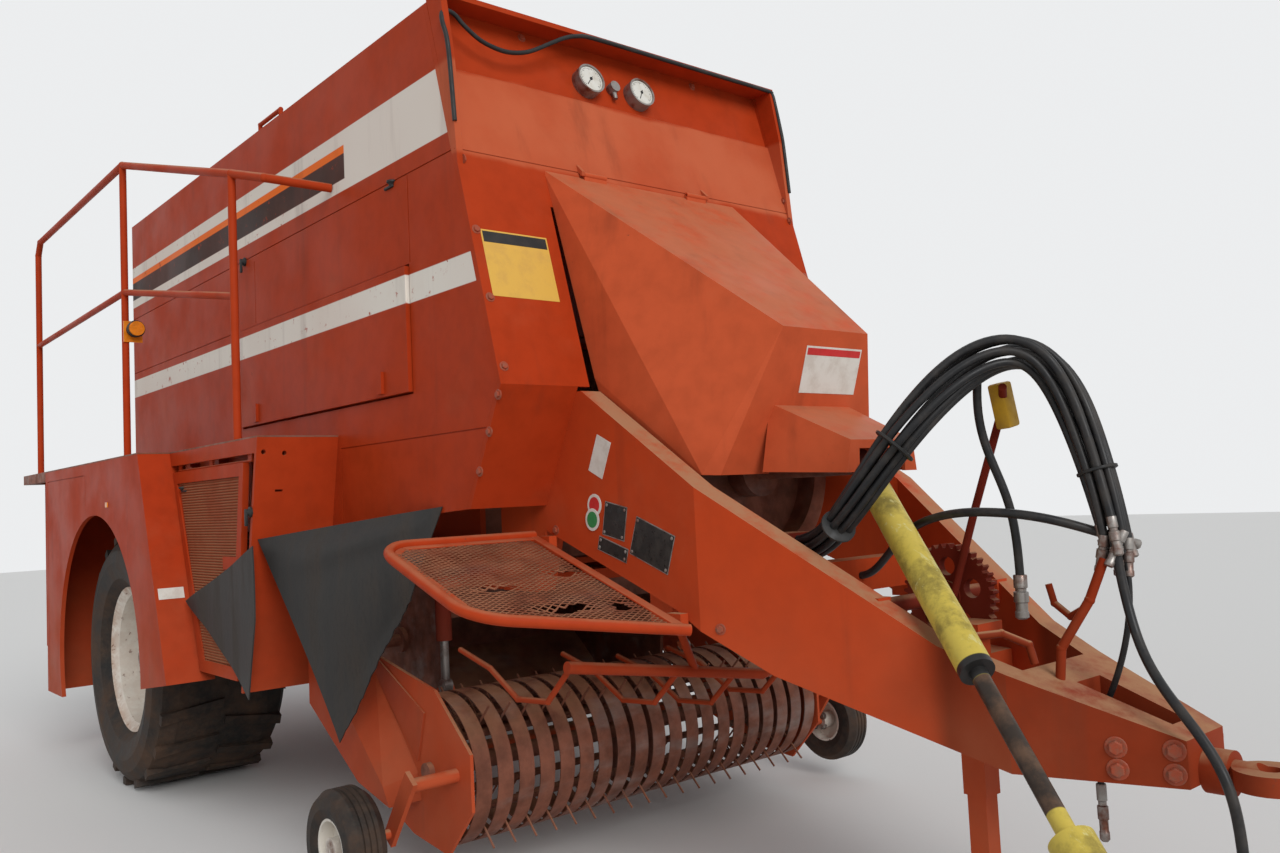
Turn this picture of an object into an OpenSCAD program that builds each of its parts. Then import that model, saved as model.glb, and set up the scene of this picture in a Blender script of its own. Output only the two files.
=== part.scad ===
// Towed square baler: body, tongue, wheels, pickup, bale chamber and chute.
// Millimetres. +Z is up, -Y is forward (towards the tow eye), -X is the machine's right side.
// Y = 0 is the middle of the machine's length, Z = 0 is the ground.

/* [Body] */
// Half width of the upper body
body_half_w = 820; // [790:5:850]
// Height of the roof above the ground
body_top_z = 3010; // [2900:10:3150]
// Y of the crease at the foot of the front face
crease_y = -1486; // [-1520:2:-1460]
// Height of that crease
crease_z = 1656; // [1640:2:1680]
// How far the front face leans back for each millimetre of height
front_lean = 0.272; // [0.24:0.004:0.3]
// Y of the rear end of the side panels
body_rear_y = 2386; // [2300:10:2430]
// Height of the seam below the side doors
low_seam_z = 1525; // [1500:5:1560]
// Thickness of a panel with its folded edges
panel_t = 24; // [16:1:30]
// Running gap between a door and its frame
door_gap = 8; // [6:1:12]

/* [Lower shell] */
// Half width at the grille door
grille_half_w = 1139; // [1110:5:1150]
// Half width at the mudguard
guard_half_w = 1275; // [1260:5:1300]
// Height of the deck on top of the lower shell
deck_z = 1579; // [1560:2:1600]
// Lowest edge of the lower shell
skirt_z = 615; // [590:5:650]
// Radius of the wheel arch
arch_r = 730; // [700:5:760]

/* [Running gear] */
// Y of the axle
axle_y = 1446; // [1400:2:1480]
// Outer radius of the main tyre
tyre_r = 612; // [590:2:640]
// Gap between the main tyre and the frame's rail
tyre_rail_gap = 46; // [30:1:90]
// Gap between the main tyre and the mudguard's side
tyre_inset = 97; // [60:1:120]
// Radius of the main rim under the tyre
rim_r = 335; // [310:1:360]
// Radius of the wheel spindle
spindle_r = 45; // [35:1:55]

/* [Chamber] */
// Inner half width of the bale chamber
bale_half_w = 400; // [380:2:404]
// Inner height of the bale chamber
bale_h = 870; // [820:5:900]
// Height of the chamber floor
bale_floor_z = 1050; // [1040:2:1080]
// Y of the rear end of the chamber
bale_rear_y = 3250; // [3200:5:3300]
// Length of the bale chute
chute_len = 900; // [700:10:1000]

/* [Tongue] */
// Half width over the tongue's side beams at the body
tongue_half_w = 522; // [510:2:530]
// Y where the side beams start to draw together
bend_y = -2010; // [-2060:5:-1980]
// Y of the tow eye's centre
eye_y = -3292; // [-3340:1:-3280]
// Height of the tow eye
eye_z = 591; // [570:1:610]
// Radius of the hole in the tow eye
eye_hole_r = 27; // [20:0.5:30]

/* [Pickup] */
// Half width of the pickup between its end plates
pickup_half_w = 828; // [800:4:840]
// Y of the reel's axis
reel_y = -1000; // [-1030:5:-980]
// Height of the reel's axis
reel_z = 408; // [400:1:430]
// Outer radius of the stripper bands
band_r = 250; // [240:1:260]
// Radius at the tips of the tines
tine_r = 320; // [300:1:325]
// Number of stripper bands
band_count = 20; // [12:1:24]
// Radius of a gauge wheel
gauge_r = 177; // [160:1:185]

/* [Hidden] */

// Clearance between faces that move past each other
slip = 0.3;
// Smoothness of true round parts and of small ones
round_fn = 64;
small_fn = 24;

// Paint and material colours
red = [0.62, 0.20, 0.10];
dark_red = [0.42, 0.14, 0.09];
rust = [0.35, 0.22, 0.15];
white = [0.86, 0.85, 0.80];
yellow = [0.72, 0.64, 0.12];
rubber = [0.08, 0.08, 0.08];
flap_grey = [0.20, 0.20, 0.20];
steel = [0.45, 0.43, 0.40];
amber = [0.85, 0.45, 0.08];

// A plate whose outline is given as [y, z] points, from x to x + t
module side_plate(points, x, t)
    translate([x, 0, 0]) rotate([90, 0, 90]) linear_extrude(t) polygon(points);

// A box given by its low and high corners
module block(low, high) translate(low) cube(high - low);

// A round bar along X from x0 to x1, at [y, z]
module bar_x(x0, x1, at, r, fn = small_fn)
    translate([x0, at[0], at[1]]) rotate([0, 90, 0]) cylinder(h = x1 - x0, r = r, $fn = fn);

// A round tube between two points
module tube(a, b, r, fn = small_fn) {
    d = b - a;
    len_ab = norm(d);
    turn = atan2(d[1], d[0]);
    tip = acos(d[2] / len_ab);
    translate(a) rotate([0, tip, turn]) cylinder(h = len_ab, r = r, $fn = fn);
}

// A run of tubes through a list of points, with round knuckles a little over the tube's size
knuckle = 1;
module tube_run(points, r, fn = small_fn) {
    for (i = [0 : len(points) - 2]) tube(points[i], points[i + 1], r, fn);
    if (len(points) > 2) for (i = [1 : len(points) - 2]) translate(points[i]) sphere(r = r + knuckle, $fn = fn);
}

// The smallest convex solid around a list of points
module around(points)
    hull() polyhedron(points = points, faces = [[for (i = [0 : len(points) - 1]) i]]);

module both_sides() {
    children();
    mirror([1, 0, 0]) children();
}

module right() mirror([1, 0, 0]) children();

// The front face of the body: its Y at a height
function front_y(z) = crease_y + front_lean * (z - crease_z);

// Tongue

beam_w = 80;
beam_rear_y = -1000;
rail_w = 70;
rail_x = bale_half_w + panel_t + 8;
// Width of the main tyre between its two gaps
tyre_w = guard_half_w - tyre_inset - tyre_rail_gap - rail_x - rail_w;
rail_low_z = 980;
rail_top_z = 1130;
rail_end_y = 2500;
hitch_rear_y = -2790;
hitch_front_y = -3156;
hitch_half_w = 100;
hitch_low_z = 565;
hitch_top_z = 674;
tongue_draw = (tongue_half_w - hitch_half_w) / (bend_y - hitch_front_y);
beam_top_z = crease_z - 16;
beam_bend_z = 1308;

// Outer face of the tongue beam: its X at a Y
function tongue_x(y) = tongue_half_w - max(0, bend_y - y) * tongue_draw;

module tongue_plan() linear_extrude(2200) polygon([
    [tongue_half_w, beam_rear_y], [tongue_half_w, bend_y], [tongue_x(hitch_rear_y), hitch_rear_y],
    [tongue_x(hitch_rear_y) - beam_w, hitch_rear_y], [tongue_half_w - beam_w, bend_y],
    [tongue_half_w - beam_w, beam_rear_y]]);

// Plan of everything between the beams' middles and the chamber rails
module tongue_fill() linear_extrude(2200) polygon([for (s = [1, -1]) each s > 0 ?
    [[rail_x + 2, rail_end_y], [rail_x + 2, beam_rear_y], [tongue_half_w - beam_w + 4, beam_rear_y],
        [tongue_half_w - beam_w + 4, bend_y], [tongue_x(hitch_rear_y) - beam_w + 4, hitch_rear_y]]
    : [[-tongue_x(hitch_rear_y) + beam_w - 4, hitch_rear_y], [-tongue_half_w + beam_w - 4, bend_y],
        [-tongue_half_w + beam_w - 4, beam_rear_y], [-rail_x - 2, beam_rear_y], [-rail_x - 2, rail_end_y]]]);

module tongue_beam() intersection() {
    tongue_plan();
    side_plate([[beam_rear_y, rail_low_z], [beam_rear_y, beam_top_z], [crease_y - 14, beam_top_z],
        [bend_y, beam_bend_z], [-2636, 874], [hitch_rear_y, 808], [hitch_rear_y, 568],
        [-2215, 781], [-1910, 955], [-1273, 1190], [-1200, rail_low_z]], 0, tongue_half_w);
}

module frame() color(red) {
    both_sides() {
        tongue_beam();
        block([rail_x, beam_rear_y - 20, rail_low_z], [rail_x + rail_w, rail_end_y, rail_top_z]);
        // legs down to the axle
        block([rail_x, axle_y - 110, axle_top_z], [rail_x + rail_w, axle_y + 110, rail_low_z + 1]);
        // lugs of the guard beside the tongue
        for (y = [-1330, -1960]) block([tongue_half_w - 1, y, guard_z(y) - 30],
            [tongue_half_w + guard_gap - guard_strip - slip, y + 60, guard_z(y) + 20]);
        // bearings of the cross shaft between the beams
        difference() {
            block([drive_bearing_x, drive_y - 40, drive_wheel_z - 40],
                [tongue_x(drive_y) - beam_w + 30, drive_y + 40, drive_wheel_z + 30]);
            bar_x(drive_bearing_x - 1, drive_bearing_x + drive_seat + slip, [drive_y, drive_wheel_z], drive_shaft_r + slip, round_fn);
        }
        // brackets that carry the windguard's pivot
        block([wind_bracket_x, wind_pivot_y - 50, 890], [wind_bracket_x + 30, wind_pivot_y + 50, 1020]);
        // brackets of the lift cylinders
        block([rail_x + rail_w - 1, lift_y - 40, rail_low_z + 5], [lift_x + 40, lift_y + 40, rail_low_z + 50]);
    }
    // hand hoop on the right beam
    tube_run([[-215, -2690, 842], [-205, -2692, 892], [-150, -2735, 896], [-108, -2785, 866], [-104, -2796, 818]], 10);
    // cross members between the beams and under the chamber
    for (c = [[beam_rear_y - 40, rail_low_z + 4, rail_low_z + 44], [-2120, 960, 1060], [jack_y + jack_half, 690, 790],
        [2380, rail_low_z + 4, rail_low_z + 44]]) intersection() {
        block([-600, c[0], c[1]], [600, c[0] + 90, c[2]]);
        tongue_fill();
    }
}

axle_half = 65;
axle_z = tyre_r;
axle_top_z = axle_z + axle_half;
axle_end_x = rail_x + rail_w + 20;
wheel_out_x = guard_half_w - tyre_inset;
wheel_in_x = wheel_out_x - tyre_w;
hub_in_x = wheel_in_x + 170;
hub_out_x = wheel_out_x - 170;

module axle() color(dark_red) {
    block([-axle_end_x, axle_y - axle_half, axle_z - axle_half],
        [axle_end_x, axle_y + axle_half, axle_top_z]);
    both_sides() {
        bar_x(axle_end_x - 1, hub_in_x - 6, [axle_y, axle_z], spindle_r + 18, round_fn);
        bar_x(axle_end_x - 1, hub_out_x - 30, [axle_y, axle_z], spindle_r, round_fn);
    }
}

module hitch() color(red) difference() {
    union() {
        // rod that holds the parked hoses
        tube_run([[-85, -2850, 770], [-85, -2860, 860], [-60, -2930, 980], [-30, -2960, 1080]], 12);
        tube_run([[-64, -2918, 960], [-10, -2850, 930], [5, -2800, 960], [0, -2790, 1010]], 9);
        hitch_box();
    }
    // slot in the top plate and the bore of the swivel
    translate([0, -3010, 620]) linear_extrude(220) polygon([[-60, 130], [-38, -90], [38, -90], [60, 130]]);
    translate([0, -2893, 400]) cylinder(h = 300, r = 19, $fn = round_fn);
    translate([0, hitch_front_y - 1, eye_z]) rotate([-90, 0, 0])
        cylinder(h = shank_len + 1 + slip, r = shank_r + slip, $fn = round_fn);
}

module hitch_box() intersection() {
    linear_extrude(2000) polygon([
        [-tongue_x(hitch_rear_y), hitch_rear_y], [-hitch_half_w, hitch_front_y],
        [hitch_half_w, hitch_front_y], [tongue_x(hitch_rear_y), hitch_rear_y]]);
    side_plate([[hitch_rear_y, hitch_low_z + 3], [hitch_front_y, hitch_low_z],
        [hitch_front_y, hitch_top_z], [-2878, 775], [hitch_rear_y, 808]], -400, 800);
}

shank_r = 32;
shank_len = 240;
eye_r = 78;
eye_t = 44;
collar_len = 60;

module tow_eye() color(red) difference() {
    union() {
        translate([0, hitch_front_y - slip - collar_len, eye_z]) rotate([-90, 0, 0])
            cylinder(h = collar_len, r = 52, $fn = round_fn);
        translate([0, eye_y + 10, eye_z]) rotate([-90, 0, 0])
            cylinder(h = hitch_front_y - eye_y + shank_len - 10, r = shank_r, $fn = round_fn);
        translate([0, eye_y, eye_z - eye_t / 2]) cylinder(h = eye_t, r = eye_r, $fn = round_fn);
    }
    translate([0, eye_y, eye_z - 100]) cylinder(h = 200, r = eye_hole_r, $fn = round_fn);
}

// Jack

jack_x = 0;
jack_y = -2550;
jack_half = 35;
jack_wall = 6;
jack_low_z = 430;
jack_top_z = 860;
foot_half = 130;
jack_travel = 350;

module jack_sleeve() color(red) difference() {
    union() {
        block([jack_x - jack_half, jack_y - jack_half, jack_low_z],
            [jack_x + jack_half, jack_y + jack_half, jack_top_z]);
        block([jack_x - 60, jack_y - 60, jack_top_z], [jack_x + 60, jack_y + 60, jack_top_z + 40]);
    }
    block([jack_x - jack_half + jack_wall, jack_y - jack_half + jack_wall, jack_low_z - 1],
        [jack_x + jack_half - jack_wall, jack_y + jack_half - jack_wall, jack_top_z]);
}

module jack_leg() color(dark_red) {
    leg_half = jack_half - jack_wall - 0.5;
    block([jack_x - leg_half, jack_y - leg_half, 14], [jack_x + leg_half, jack_y + leg_half, jack_top_z - jack_travel - 5]);
    block([jack_x - foot_half, jack_y - foot_half, 0], [jack_x + foot_half, jack_y + foot_half, 15]);
}

// Bale chamber

chamber_wall = panel_t;
chamber_out_x = bale_half_w + chamber_wall;
chamber_front_y = -700;
bale_top_z = bale_floor_z + bale_h;
rib_ys = [0, 500, 1000, 1500, 2000, 2500, 2960];
rib_d = 55;
chamber_low_z = rail_top_z - 104;
bracket_t = 18;

module bale_chamber() color(red) {
    difference() {
        block([-chamber_out_x, chamber_front_y, chamber_low_z], [chamber_out_x, bale_rear_y, bale_top_z + chamber_wall]);
        block([-bale_half_w, chamber_front_y - 1, bale_floor_z], [bale_half_w, bale_rear_y + 1, bale_top_z]);
        // crop inlet in the floor below the plunger
        block([-380, -640, bale_floor_z - 200], [380, -100, bale_floor_z + 1]);
        // needle slots in the floor and knotter slots in the top
        for (i = [-2 : 2]) block([i * 140 - 12, 1500, bale_floor_z - 200], [i * 140 + 12, 2100, bale_top_z + 200]);
    }
    both_sides() for (y = rib_ys) block([chamber_out_x - 1, y, rail_top_z + slip], [chamber_out_x + rib_d, y + 60, bale_top_z]);
    // brackets and pins of the chute's hinges
    both_sides() {
        for (x = [chute_hinge_x - bracket_t - slip, chute_hinge_x + chute_hinge_w + slip])
            side_plate([[bale_rear_y - 70, chamber_low_z + 0.5], [bale_rear_y + 30, chamber_low_z + 0.5], [chute_y - 5, chute_low_z - 6],
                [chute_pin_y + 18, chute_low_z - 6], [chute_pin_y + 18, chute_pin_z - 20], [bale_rear_y - 40, chute_pin_z - 20]],
                x, bracket_t);
        bar_x(chute_hinge_x - slip - 1, chute_hinge_x + chute_hinge_w + slip + 1, [chute_pin_y, chute_pin_z],
            chute_pin_r, round_fn);
    }
}

module density_rails() color(dark_red) {
    x = chamber_out_x + rib_d + slip;
    y = [2780, 2860];
    z = bale_top_z + chamber_wall + slip;
    both_sides() for (z = [1250, 1500, 1750]) block([x, 2340, z], [x + 40, bale_rear_y - 20, z + 90]);
    // hoop around the chamber with its two cylinders
    both_sides() block([x + 39, y[0], 1200], [x + 92, y[1], z + 110]);
    block([-x - 92, y[0], z + 40], [x + 92, y[1], z + 110]);
    for (x = [-200, 200]) translate([x, (y[0] + y[1]) / 2, z]) cylinder(h = 41, r = 38, $fn = round_fn);
}

module plunger() color(dark_red) difference() {
    block([-bale_half_w + 6, chamber_front_y + 10, bale_floor_z], [bale_half_w - 6, -80, bale_top_z - 6]);
    for (i = [-2 : 2]) block([i * 140 - 12, -180, bale_floor_z - 1], [i * 140 + 12, -79, bale_top_z]);
}

module knotters() color(steel) {
    top = bale_top_z + chamber_wall;
    block([-380, 1620, top], [380, 1700, top + 60]);
    for (i = [-2 : 2]) translate([i * 140, 0, 0]) {
        block([-45, 1701, top], [45, 1960, top + 90]);
        bar_x(-40, 40, [1830, top + 150], 110, round_fn);
        block([-10, 1720, top + 89], [10, 1780, top + 250]);
    }
    bar_x(-430, 430, [1830, top + 150], 24, small_fn);
}

module needles() color(dark_red) {
    yoke_z = 860;
    bar_x(-380, 380, [2180, yoke_z], 40, small_fn);
    for (i = [-2 : 2]) translate([i * 140 - 8, 0, 0]) rotate([90, 0, 90]) linear_extrude(16)
        difference() {
            polygon([[2150, 840], [1700, 900], [1520, 1010], [1560, 1015], [1740, 940], [2200, 900]]);
            translate([1530, 1000]) circle(r = 6, $fn = 16);
        }
    both_sides() {
        block([350, 2140, yoke_z - 40], [380, 2220, rail_low_z - slip]);
        block([350, 2140, rail_low_z - 30], [rail_x + rail_w - 5, 2220, rail_low_z - slip]);
    }
}

duct_half_w = 560;
duct_t = 16;
pivot_y = -300;
pivot_z = 760;
pivot_r = 25;

duct_top_z = rail_low_z;
duct_front_y = -600;

module feed_duct() color(dark_red) {
    // crop passage from the reel up to the chamber
    both_sides() side_plate([[duct_front_y, 400], [duct_front_y, 560], [-640, duct_top_z], [40, duct_top_z], [60, 640],
        [-200, 420]], duct_half_w - duct_t, duct_t);
    // curved back wall and short front wall
    side_plate([[duct_front_y, 400], [-200, 420], [60, 640], [40, duct_top_z], [20, duct_top_z], [38, 650], [-210, 438],
        [duct_front_y, 418]], -duct_half_w + duct_t - 0.5, 2 * (duct_half_w - duct_t) + 1);
    side_plate([[-629, 860], [-640, duct_top_z], [-620, duct_top_z], [-609, 860]],
        -duct_half_w + duct_t - 0.5, 2 * (duct_half_w - duct_t) + 1);
    // pivots of the pickup
    both_sides() bar_x(duct_half_w - 1, end_x, [pivot_y, pivot_z], pivot_r, round_fn);
    both_sides() bar_x(duct_half_w - 1, duct_half_w + 20, [pivot_y, pivot_z], 50, round_fn);
}

// Upper body

// Hoop handles on the roof: front end, length and height
hoop_y = 280;
hoop_len = 240;
hoop_h = 70;

side_door_front_y = -927;
side_door_rear_y = 673;
side_door_low_z = 1690;
side_door_top_z = 2132;
cheek_low_y = -1283;
cheek_low_z = 1274;
rim_depth = 90;
// Panel seams: width, depth, and the height of the one above the doors
seam_w = 5;
seam_d = 4;
seam_z = 2455;
high_door_front_y = -940;
slit_ys = [490, 720];
// Recess behind the gauges: its low edge and its depth
recess_z = body_top_z - 244;
recess_d = 12;
hood_side_gap = 28;
front_tilt = atan(front_lean);

hinge_r = 5;
side_hinge_x = body_half_w - 8;

// A hinge rod along Y from a start point
module hinge_rod(start, length) translate(start) rotate([-90, 0, 0]) cylinder(h = length, r = hinge_r, $fn = small_fn);

module side_skin() {
    x = body_half_w - panel_t;
    difference() {
        side_plate([[front_y(body_top_z) + panel_t + slip, body_top_z], [crease_y + panel_t + slip, crease_z],
            [cheek_low_y + panel_t + slip, cheek_low_z],
            [490, 1190], [490, deck_z], [body_rear_y, deck_z], [body_rear_y, body_top_z]], x, panel_t);
        block([x - 1, side_door_front_y - door_gap, side_door_low_z - door_gap],
            [body_half_w + 1, side_door_rear_y + door_gap, side_door_top_z + door_gap]);
        // seams and slits between the sheets
        xs = body_half_w - seam_d;
        block([xs, -1250, seam_z], [body_half_w + 1, body_rear_y - 6, seam_z + seam_w]);
        block([xs, high_door_front_y - seam_w, side_door_top_z + 12], [body_half_w + 1, high_door_front_y, seam_z + 1]);
        for (y = slit_ys) block([xs, y, side_door_top_z + 16], [body_half_w + 1, y + seam_w, seam_z - 24]);
        block([xs, side_door_rear_y + 60, side_door_top_z + 6], [body_half_w + 1, body_rear_y - 6, side_door_top_z + 6 + seam_w]);
        block([xs, cheek_low_y - 140, low_seam_z], [body_half_w + 1, step_front_y - 20, low_seam_z + seam_w]);
        block([xs, step_front_y - 26, cheek_low_z - 60], [body_half_w + 1, step_front_y - 20, low_seam_z + 1]);
    }
    // folded ledge above the door and the rod that the door hangs from
    block([x - 30, side_door_front_y, side_door_top_z + door_gap], [x + 1, side_door_rear_y, side_door_top_z + door_gap + 30]);
    hinge_rod([side_hinge_x, side_door_front_y + 40, side_door_top_z + hinge_r + slip], side_door_rear_y - side_door_front_y - 80);
}

module side_panel_left() color(red) side_skin();
module side_panel_right() color(red) right() side_skin();

module side_door() {
    block([body_half_w - panel_t + slip, side_door_front_y, side_door_low_z], [body_half_w + 14, side_door_rear_y, side_door_top_z]);
    for (y = [side_door_front_y + 200, side_door_rear_y - 200])
        block([body_half_w + 13, y - 20, side_door_low_z + 10], [body_half_w + 26, y + 20, side_door_low_z + 90]);
}

module side_door_left() color(red) side_door();
module side_door_right() color(red) right() side_door();

module roof() color(red) {
    x = body_half_w - panel_t - 0.2;
    block([-x, front_y(body_top_z) + panel_t * 2, body_top_z - panel_t], [x, body_rear_y, body_top_z]);
    // stiffening ribs across the roof
    for (y = [-600, 0, 800, 1500, 2200]) block([-x + 40, y, body_top_z - 1], [x - 40, y + 60, body_top_z + 12]);
    // hoop handles near the edge
    both_sides() tube_run([[x - 30, hoop_y, body_top_z - 2], [x - 30, hoop_y, body_top_z + hoop_h],
        [x - 30, hoop_y + hoop_len, body_top_z + hoop_h], [x - 30, hoop_y + hoop_len, body_top_z - 2]], 10, 16);
}

module front_panel() color(red) {
    x = body_half_w;
    y0 = front_y(body_top_z);
    difference() {
        side_plate([[crease_y, crease_z], [crease_y + panel_t, crease_z], [y0 + panel_t, body_top_z], [y0, body_top_z]],
            -x, 2 * x);
        // opening behind the flywheel's hood, a little wider than the hood
        rotate([90, 0, 0]) translate([0, 0, 900]) linear_extrude(700) polygon([[-hood_pts[1][0] - hood_side_gap, crease_z - 1],
            [hood_pts[1][0] + hood_side_gap, crease_z - 1], [hood_pts[0][0] + 6, 2300], [-hood_pts[0][0] - 6, 2300]]);
        // recess at the top for the gauges
        side_plate([[front_y(recess_z) - 1, recess_z], [front_y(recess_z + 8) + recess_d, recess_z + 8],
            [front_y(body_top_z - 6) + recess_d, body_top_z - 6], [y0 - 20, body_top_z - 6]], -x + panel_t, 2 * (x - panel_t));
        // seam across the panel above the hood
        block([-x - 1, front_y(seam_z) - 2, seam_z], [x + 1, front_y(seam_z) + seam_d, seam_z + seam_w]);
    }
    // forward flanges at the sides and the brow at the top
    both_sides() side_plate([[y0 - rim_depth, body_top_z + 12], [y0 + 1, body_top_z + 12],
        [front_y(2400) + 1, 2400], [front_y(2780) - rim_depth + 20, 2780]], x - panel_t, panel_t);
    block([-x, y0 - rim_depth, body_top_z - 6], [x, y0 + 1, body_top_z + 12]);
    // ears and pins of the hood's hinge
    both_sides() {
        side_plate([[front_y(2490) + 1, 2490], [front_y(2456) + 1, 2456], [hood_hinge[0] + 4, 2450], [hood_hinge[0] + 4, 2443],
            [hood_hinge[0] - 7, 2441], [hood_hinge[0] - 10, 2456]], hood_knuckle_x[1] + slip, 14);
        bar_x(hood_knuckle_x[1] - 20, hood_knuckle_x[1] + slip + 1, hood_hinge, hinge_r, small_fn);
    }
}

module cheeks() color(red) both_sides() {
    // panel below the crease, facing forward and down
    side_plate([[crease_y, crease_z - slip], [crease_y + panel_t, crease_z - slip],
        [cheek_low_y + panel_t, cheek_low_z], [cheek_low_y, cheek_low_z]],
        tongue_half_w + slip, body_half_w - tongue_half_w - slip);
}

// Hood over the flywheel

hood_t = 16;
hood_pts = [[468, -1262, 2447], [446, -1470, 1694], [204, -2104, 1783], [360, -1960, 1341], [400, -1921, 1345]];
hood_back = [[426, -1500, 1650], [400, -1520, 1345]];

// Hinge line at the top of the hood: its Y and Z
hood_hinge = [-1283, 2447];
hood_knuckle_x = [200, 300];

module hood_solid(inset) {
    pts = [for (p = concat(hood_pts, hood_back)) [p[0] - inset, p[1] + inset * 1.2, p[2] - inset]];
    around(concat(pts, [for (p = pts) [-p[0], p[1], p[2]]]));
}

module hood() color(red) {
    // knuckles of the hinge
    both_sides() difference() {
        union() {
            bar_x(hood_knuckle_x[0], hood_knuckle_x[1], hood_hinge, 10, round_fn);
            block([hood_knuckle_x[0], hood_hinge[0] - 6, hood_hinge[1] - 22], [hood_knuckle_x[1], hood_hinge[0] + 2, hood_hinge[1] - 3]);
        }
        bar_x(hood_knuckle_x[0] - 1, hood_knuckle_x[1] + 1, hood_hinge, hinge_r + slip, small_fn);
    }
    difference() {
        hood_solid(0);
        hood_solid(hood_t);
        // open at the foot, at the drive shaft and towards the front panel
        block([-380, -1930, 1300], [380, -1300, 1380]);
        block([-150, -2200, 1300], [150, -1800, 1480]);
        side_plate([[front_y(1200) - slip, 1200], [front_y(2600) - slip, 2600], [-1000, 2600], [-1000, 1200]], -600, 1200);
    }
    // cover over the joint of the drive shaft
    difference() {
        around([[182, -2012, 1557], [-182, -2012, 1557], [150, -2290, 1425], [-150, -2290, 1425],
            [170, -2285, 1330], [-170, -2285, 1330], [230, -2010, 1345], [-230, -2010, 1345]]);
        around([[170, -1990, 1552], [-170, -1990, 1552], [140, -2276, 1412], [-140, -2276, 1412],
            [160, -2272, 1300], [-160, -2272, 1300], [218, -1990, 1300], [-218, -1990, 1300]]);
        // way out of the drive shaft at the front
        block([-110, -2320, 1300], [110, -2200, 1400]);
    }
}

// Lower shell

step_front_y = -325;
step_rear_y = 707;
step_low_y = 360;
shell_rear_y = 2464;
skirt_front_y = -120;
skirt_rear_z = 374;
shell_t = 20;

module lower_shell() {
    x1 = grille_half_w;
    x2 = guard_half_w;
    // front wall beside the body, with two holes and a slit
    difference() {
        side_plate([[step_front_y, deck_z - 3 - slip], [step_front_y + shell_t, deck_z - 3 - slip], [skirt_front_y + shell_t, skirt_z],
            [skirt_front_y, skirt_z]], body_half_w + slip, x1 - body_half_w - slip);
        for (c = [[1112, 1521, 9], [1032, 1516, 9]]) translate([c[0], step_front_y - 60, c[1]]) rotate([-90, 0, 0])
            cylinder(h = 200, r = c[2], $fn = small_fn);
        block([1030, step_front_y - 60, 1372], [1060, step_front_y + 200, 1380]);
    }
    // wall between the grille door and the mudguard, leaning forward
    side_plate([[step_rear_y, deck_z - 3 - slip], [step_rear_y + shell_t, deck_z - 3 - slip], [step_low_y + shell_t, skirt_z],
        [step_low_y, skirt_z]], x1 - 60, x2 - x1 + 60);
    // mudguard side with the wheel arch
    difference() {
        side_plate([[step_rear_y + 1, deck_z - 3 - slip], [shell_rear_y, deck_z - 3 - slip], [shell_rear_y, skirt_rear_z],
            [axle_y + 600, skirt_rear_z], [step_low_y + 1, skirt_z]], x2 - shell_t, shell_t);
        bar_x(x2 - shell_t - 1, x2 + 1, [axle_y, axle_z - 20], arch_r, round_fn);
        // seam of the tool box over the rear of the wheel
        block([x2 - seam_d, 1600, arch_r + axle_z + 30], [x2 + 1, 1600 + seam_w, deck_z - 60]);
        block([x2 - seam_d, 1600, deck_z - 60], [x2 + 1, shell_rear_y - 50, deck_z - 60 + seam_w]);
        block([x2 - seam_d, shell_rear_y - 50, skirt_rear_z + 60], [x2 + 1, shell_rear_y - 50 + seam_w, deck_z - 55]);
    }
    // header above the grille door with the rod that the door hangs from
    z0 = grille_hinge_z + 24;
    side_plate([[grille_front_y(z0) - 1, z0], [grille_rear_y(z0) + 1, z0], [step_rear_y, deck_z - 3 - slip],
        [step_front_y + shell_t - 1, deck_z - 3 - slip]], x1 - 24, 24);
    y0 = grille_front_y(grille_top_z) + 60;
    y1 = grille_rear_y(grille_top_z) - 40;
    hinge_rod([grille_hinge_x, y0, grille_hinge_z], y1 - y0);
    for (y = [y0, (y0 + y1) / 2, y1 - 40]) block([grille_hinge_x - 2.5, y, grille_hinge_z], [grille_hinge_x + 2.5, y + 40, z0 + 1]);
    // rear wall
    block([body_half_w + 60, shell_rear_y - shell_t, skirt_rear_z], [x2 - shell_t + 1, shell_rear_y, deck_z - 3 - slip]);
}

module lower_shell_left() color(red) lower_shell();
module lower_shell_right() color(red) right() lower_shell();

// Air slots of the grille: height and pitch
grille_slot = 14;
grille_pitch = 30;
grille_low_z = skirt_z + 40;
grille_top_z = deck_z - 90;
grille_hinge_x = grille_half_w - 18;
grille_hinge_z = grille_top_z + hinge_r + slip;

function grille_front_y(z) = step_front_y + shell_t + (skirt_front_y - step_front_y) * (deck_z - z) / (deck_z - skirt_z);
function grille_rear_y(z) = step_rear_y + (step_low_y - step_rear_y) * (deck_z - z) / (deck_z - skirt_z);

module grille_door() {
    lo = grille_low_z;
    hi = grille_top_z;
    g = door_gap;
    difference() {
        side_plate([[grille_front_y(lo) + g + 40, lo], [grille_rear_y(lo) - g, lo], [grille_rear_y(hi) - g, hi],
            [grille_front_y(hi) + g + 100, hi]], grille_half_w - 24, 24);
        side_plate([[grille_front_y(lo) + g + 90, lo + 50], [grille_rear_y(lo) - g - 50, lo + 50],
            [grille_rear_y(hi) - g - 50, hi - 50], [grille_front_y(hi) + g + 150, hi - 50]], grille_half_w - 10, 24);
        // air slots
        for (z = [lo + 64 : grille_pitch : hi - 70])
            block([grille_half_w - 30, grille_front_y(z) + g + 104 + (z - lo) * 0.062, z],
                [grille_half_w, grille_rear_y(z) - g - 60, z + grille_slot]);
    }
    // straps that carry the rubber flap
    for (z = [760, 1080]) {
        block([grille_half_w + slip, -120, z], [grille_half_w + 2.6, 60, z + 50]);
        block([grille_half_w - 6, 0, z], [grille_half_w + 1, 40, z + 50]);
    }
}

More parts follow.
